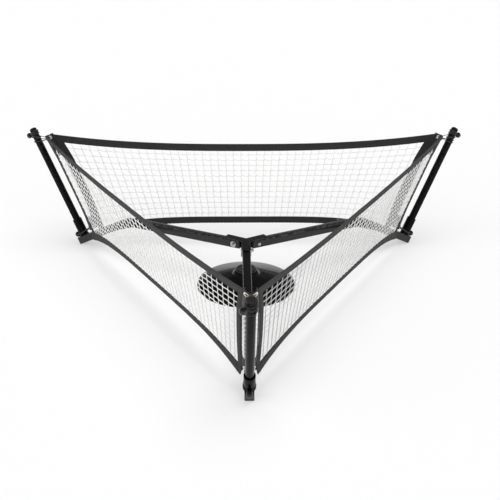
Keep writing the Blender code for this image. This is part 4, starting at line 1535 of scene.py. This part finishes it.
class REBOUNDER_OT_base(Maker, bpy.types.Operator):
    """The weighted base, the ring on its collar and the stem"""

    bl_idname = "rebounder.base"
    bl_label = "Base"

    def execute(self, context):
        _, colours = self.settings(context)
        shell = Shape()
        shell.skin(turned(self.shell(), 144), (True, True))
        made = shell.build("domed_base", base_finish(colours), 40)
        fitted(made, "base", "base_plastic", "base_shell")
        ring = Shape()
        ring.skin(self.ring(), (True, True))
        made = ring.build("grip_ring", plastic_finish(colours), 40)
        fitted(made, "knob", "black_plastic", "stem_knob")
        stem = Shape()
        wall = pipe(STEM_R - STEM_WALL, STEM_R, PLATE_H + GAP, STEM_TOP)
        stem.skin(turned(wall, 64), (True, True))
        made = stem.build("round_stem", gloss_finish(colours))
        fitted(made, "base", "painted_steel", "stem")
        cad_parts["base_bottom"].data.materials[0] = plastic_finish(colours)
        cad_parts["base_weight"].data.materials[0] = ballast_finish(colours)
        return {"FINISHED"}

    def dome(self, lift, steps=20):
        """The dome's slope from its collar to its shoulder: the height falls by a power."""
        (r0, z0), (r1, z1) = DOME_INNER, DOME_OUTER
        k = np.linspace(0, 1, steps)
        return np.stack([r0 + (r1 - r0) * k, z0 + (z1 - z0) * k**DOME_POWER + lift], -1)

    def shell(self):
        """The shell's section: down the collar and dome outside, and back up inside."""
        thin, top = SHELL_THICK, KNOB_BOTTOM - GAP
        collar = filleted([(0.0405, top), *COLLAR_OUTER, DOME_INNER], 0.0015, 5, False)
        rim = [DOME_OUTER, (0.1795, 0.0125), (BASE_R, 0.0075), (BASE_R, 0.003)]
        rim = filleted(rim, 0.004, 6, False)
        outside = np.concatenate([collar, self.dome(0)[1:-1], rim, [(BASE_R, BASE_LIP)]])
        inside = np.array([(BASE_R - thin, BASE_LIP), (BASE_R - thin, 0.0065), (0.177, 0.0095)])
        hole = [(COLLAR_INNER[-1][0], top - thin), (STEM_HOLE, top - thin), (STEM_HOLE, top)]
        line = np.concatenate([outside, inside, self.dome(-thin)[::-1], COLLAR_INNER, hole])
        return line[::-1]

    def ring(self):
        """The ring: a plain edge, a groove under its rim and a shallow dish round the stem."""
        corners = [(STEM_HOLE, KNOB_BOTTOM), (KNOB_R, KNOB_BOTTOM), (KNOB_R, KNOB_TOP - 0.0065)]
        corners += [(KNOB_R - 0.0006, KNOB_TOP - 0.0058), (KNOB_R, KNOB_TOP - 0.0051)]
        corners += [(KNOB_R, KNOB_TOP - 0.0035)]
        corners += [(0.036, KNOB_TOP - 0.0008), (0.030, KNOB_TOP), (0.022, KNOB_TOP - 0.0015)]
        corners += [(0.019, KNOB_TOP), (STEM_HOLE, KNOB_TOP)]
        return turned(filleted(corners, 0.0009, 4), 144)


class REBOUNDER_OT_stage(Maker, bpy.types.Operator):
    """A pale floor, soft studio light and the camera at the photograph's angle"""

    bl_idname = "rebounder.stage"
    bl_label = "Stage"

    def execute(self, context):
        _, colours = self.settings(context)
        self.floor(colours)
        self.world(context.scene)
        for name, place, spread, power in (
            ("key", (0.5, -0.2, 3.2), 45, 2.0),
            ("fill", (-3.0, -2.2, 2.4), 60, 1.5),
            ("front", (0.6, -3.6, 2.2), 60, 1.3),
        ):
            self.lamp(name, place, spread, power)
        self.camera(context.scene)
        context.scene.view_settings.view_transform = "Standard"
        return {"FINISHED"}

    def floor(self, colours):
        """A large plane: a matt floor that also glows a little to the camera and in reflections,
        so that it is white out of the shadows."""
        shape = Shape()
        corner = np.array([[-1, -1], [1, -1], [-1, 1], [1, 1]]).reshape(2, 2, 2) * FLOOR_HALF
        flat = np.concatenate([corner, np.full((2, 2, 1), -FLOOR_DROP)], -1)
        shape.skin(np.swapaxes(flat, 0, 1), (False, False))
        material = bpy.data.materials.new("studio_floor")
        material.use_nodes = True
        nodes = Nodes(material.node_tree)
        path = nodes.node("ShaderNodeLightPath").socket.node.outputs
        kinds = ("Is Camera Ray", "Is Glossy Ray", "Is Transmission Ray")
        seen, mirrored, clear = (Value(nodes, path[kind]) for kind in kinds)
        values = {"Base Color": tone(colours.floor), "Roughness": 0.9, "Specular IOR Level": 0.0}
        plain = nodes.node("ShaderNodeBsdfPrincipled", values=values)
        values |= {"Emission Color": (1, 1, 1, 1), "Emission Strength": FLOOR_GLOW}
        glowing = nodes.node("ShaderNodeBsdfPrincipled", values=values)
        both = nodes.node("ShaderNodeMixShader", values=[seen + mirrored + clear, plain, glowing])
        nodes.node("ShaderNodeOutputMaterial", values=[both])
        shape.build("studio_floor", material)

    def world(self, scene):
        """White to the camera. To the object it is bright near the horizon and dim overhead, as
        round a white sweep under a dark ceiling."""
        world = bpy.data.worlds.new("studio")
        world.use_nodes = True
        scene.world = world
        nodes = Nodes(world.node_tree)
        path = nodes.node("ShaderNodeLightPath").socket.node.outputs
        kinds = ("Is Camera Ray", "Is Transmission Ray")
        seen, clear = (Value(nodes, path[kind]) for kind in kinds)
        way = nodes.node("ShaderNodeTexCoord", output=0)
        height = nodes.node("ShaderNodeSeparateXYZ", values=[way], output=2)
        low, high, white = (
            nodes.node("ShaderNodeBackground", values=[(1, 1, 1, 1), strength])
            for strength in (HORIZON_LIGHT, CEILING_LIGHT, 1.0)
        )
        share = height.between(*LIGHT_TURNS)
        lit = nodes.node("ShaderNodeMixShader", values=[share, low, high])
        whole = nodes.node("ShaderNodeMixShader", values=[seen + clear, lit, white])
        nodes.node("ShaderNodeOutputWorld", values=[whole])

    def lamp(self, name, place, spread, power):
        """Wide even light from the direction of a place; it doesn't show in reflections."""
        light = bpy.data.lights.new(name, "SUN")
        light.angle = math.radians(spread)
        light.energy = power
        made = bpy.data.objects.new(name, light)
        made.location = place
        made.rotation_mode = "QUATERNION"
        made.rotation_quaternion = (-Vector(place)).to_track_quat("-Z", "Y")
        made.visible_glossy = False
        bpy.context.scene.collection.objects.link(made)

    def camera(self, scene):
        data = bpy.data.cameras.new("camera")
        data.lens = CAMERA_LENS
        data.sensor_width = 36
        made = bpy.data.objects.new("camera", data)
        made.matrix_world = (
            spun(-CAMERA_YAW)
            @ moved(CAMERA_ASIDE, 0, 0)
            @ moved(0, -CAMERA_BACK, CAMERA_UP)
            @ spun(math.pi / 2 - CAMERA_PITCH, "X")
            @ spun(CAMERA_ROLL)
        )
        scene.collection.objects.link(made)
        scene.camera = made


# ---------------------------------------------------------------- add-on


OPERATORS = (
    REBOUNDER_OT_arms,
    REBOUNDER_OT_end_plugs,
    REBOUNDER_OT_hub,
    REBOUNDER_OT_fasteners,
    REBOUNDER_OT_posts,
    REBOUNDER_OT_netting,
    REBOUNDER_OT_webbing,
    REBOUNDER_OT_corner_strips,
    REBOUNDER_OT_loops,
    REBOUNDER_OT_base,
    REBOUNDER_OT_stage,
)


class REBOUNDER_PT_panel(bpy.types.Panel):
    """Lists the rebounder's pieces in the order in which they are made"""

    bl_label = "Rebounder Net"
    bl_idname = "REBOUNDER_PT_panel"
    bl_space_type = "VIEW_3D"
    bl_region_type = "UI"
    bl_category = "Rebounder"

    def draw(self, context):
        for group in (context.scene.rebounder_sizes, context.scene.rebounder_colours):
            box = self.layout.box()
            for name in group.__annotations__:
                box.prop(group, name)
        for operator in OPERATORS:
            self.layout.operator(operator.bl_idname)


CLASSES = (RebounderSizes, RebounderColours, *OPERATORS, REBOUNDER_PT_panel)


def register():
    for kind in CLASSES:
        bpy.utils.register_class(kind)
    bpy.types.Scene.rebounder_sizes = PointerProperty(type=RebounderSizes)
    bpy.types.Scene.rebounder_colours = PointerProperty(type=RebounderColours)


def unregister():
    del bpy.types.Scene.rebounder_sizes
    del bpy.types.Scene.rebounder_colours
    for kind in reversed(CLASSES):
        bpy.utils.unregister_class(kind)


def main():
    register()
    for operator in OPERATORS:
        group, name = operator.bl_idname.split(".")
        if getattr(getattr(bpy.ops, group), name)() != {"FINISHED"}:
            raise RuntimeError(f"{operator.bl_label} was not made")
    bpy.context.view_layer.update()


if __name__ == "__main__":
    main()
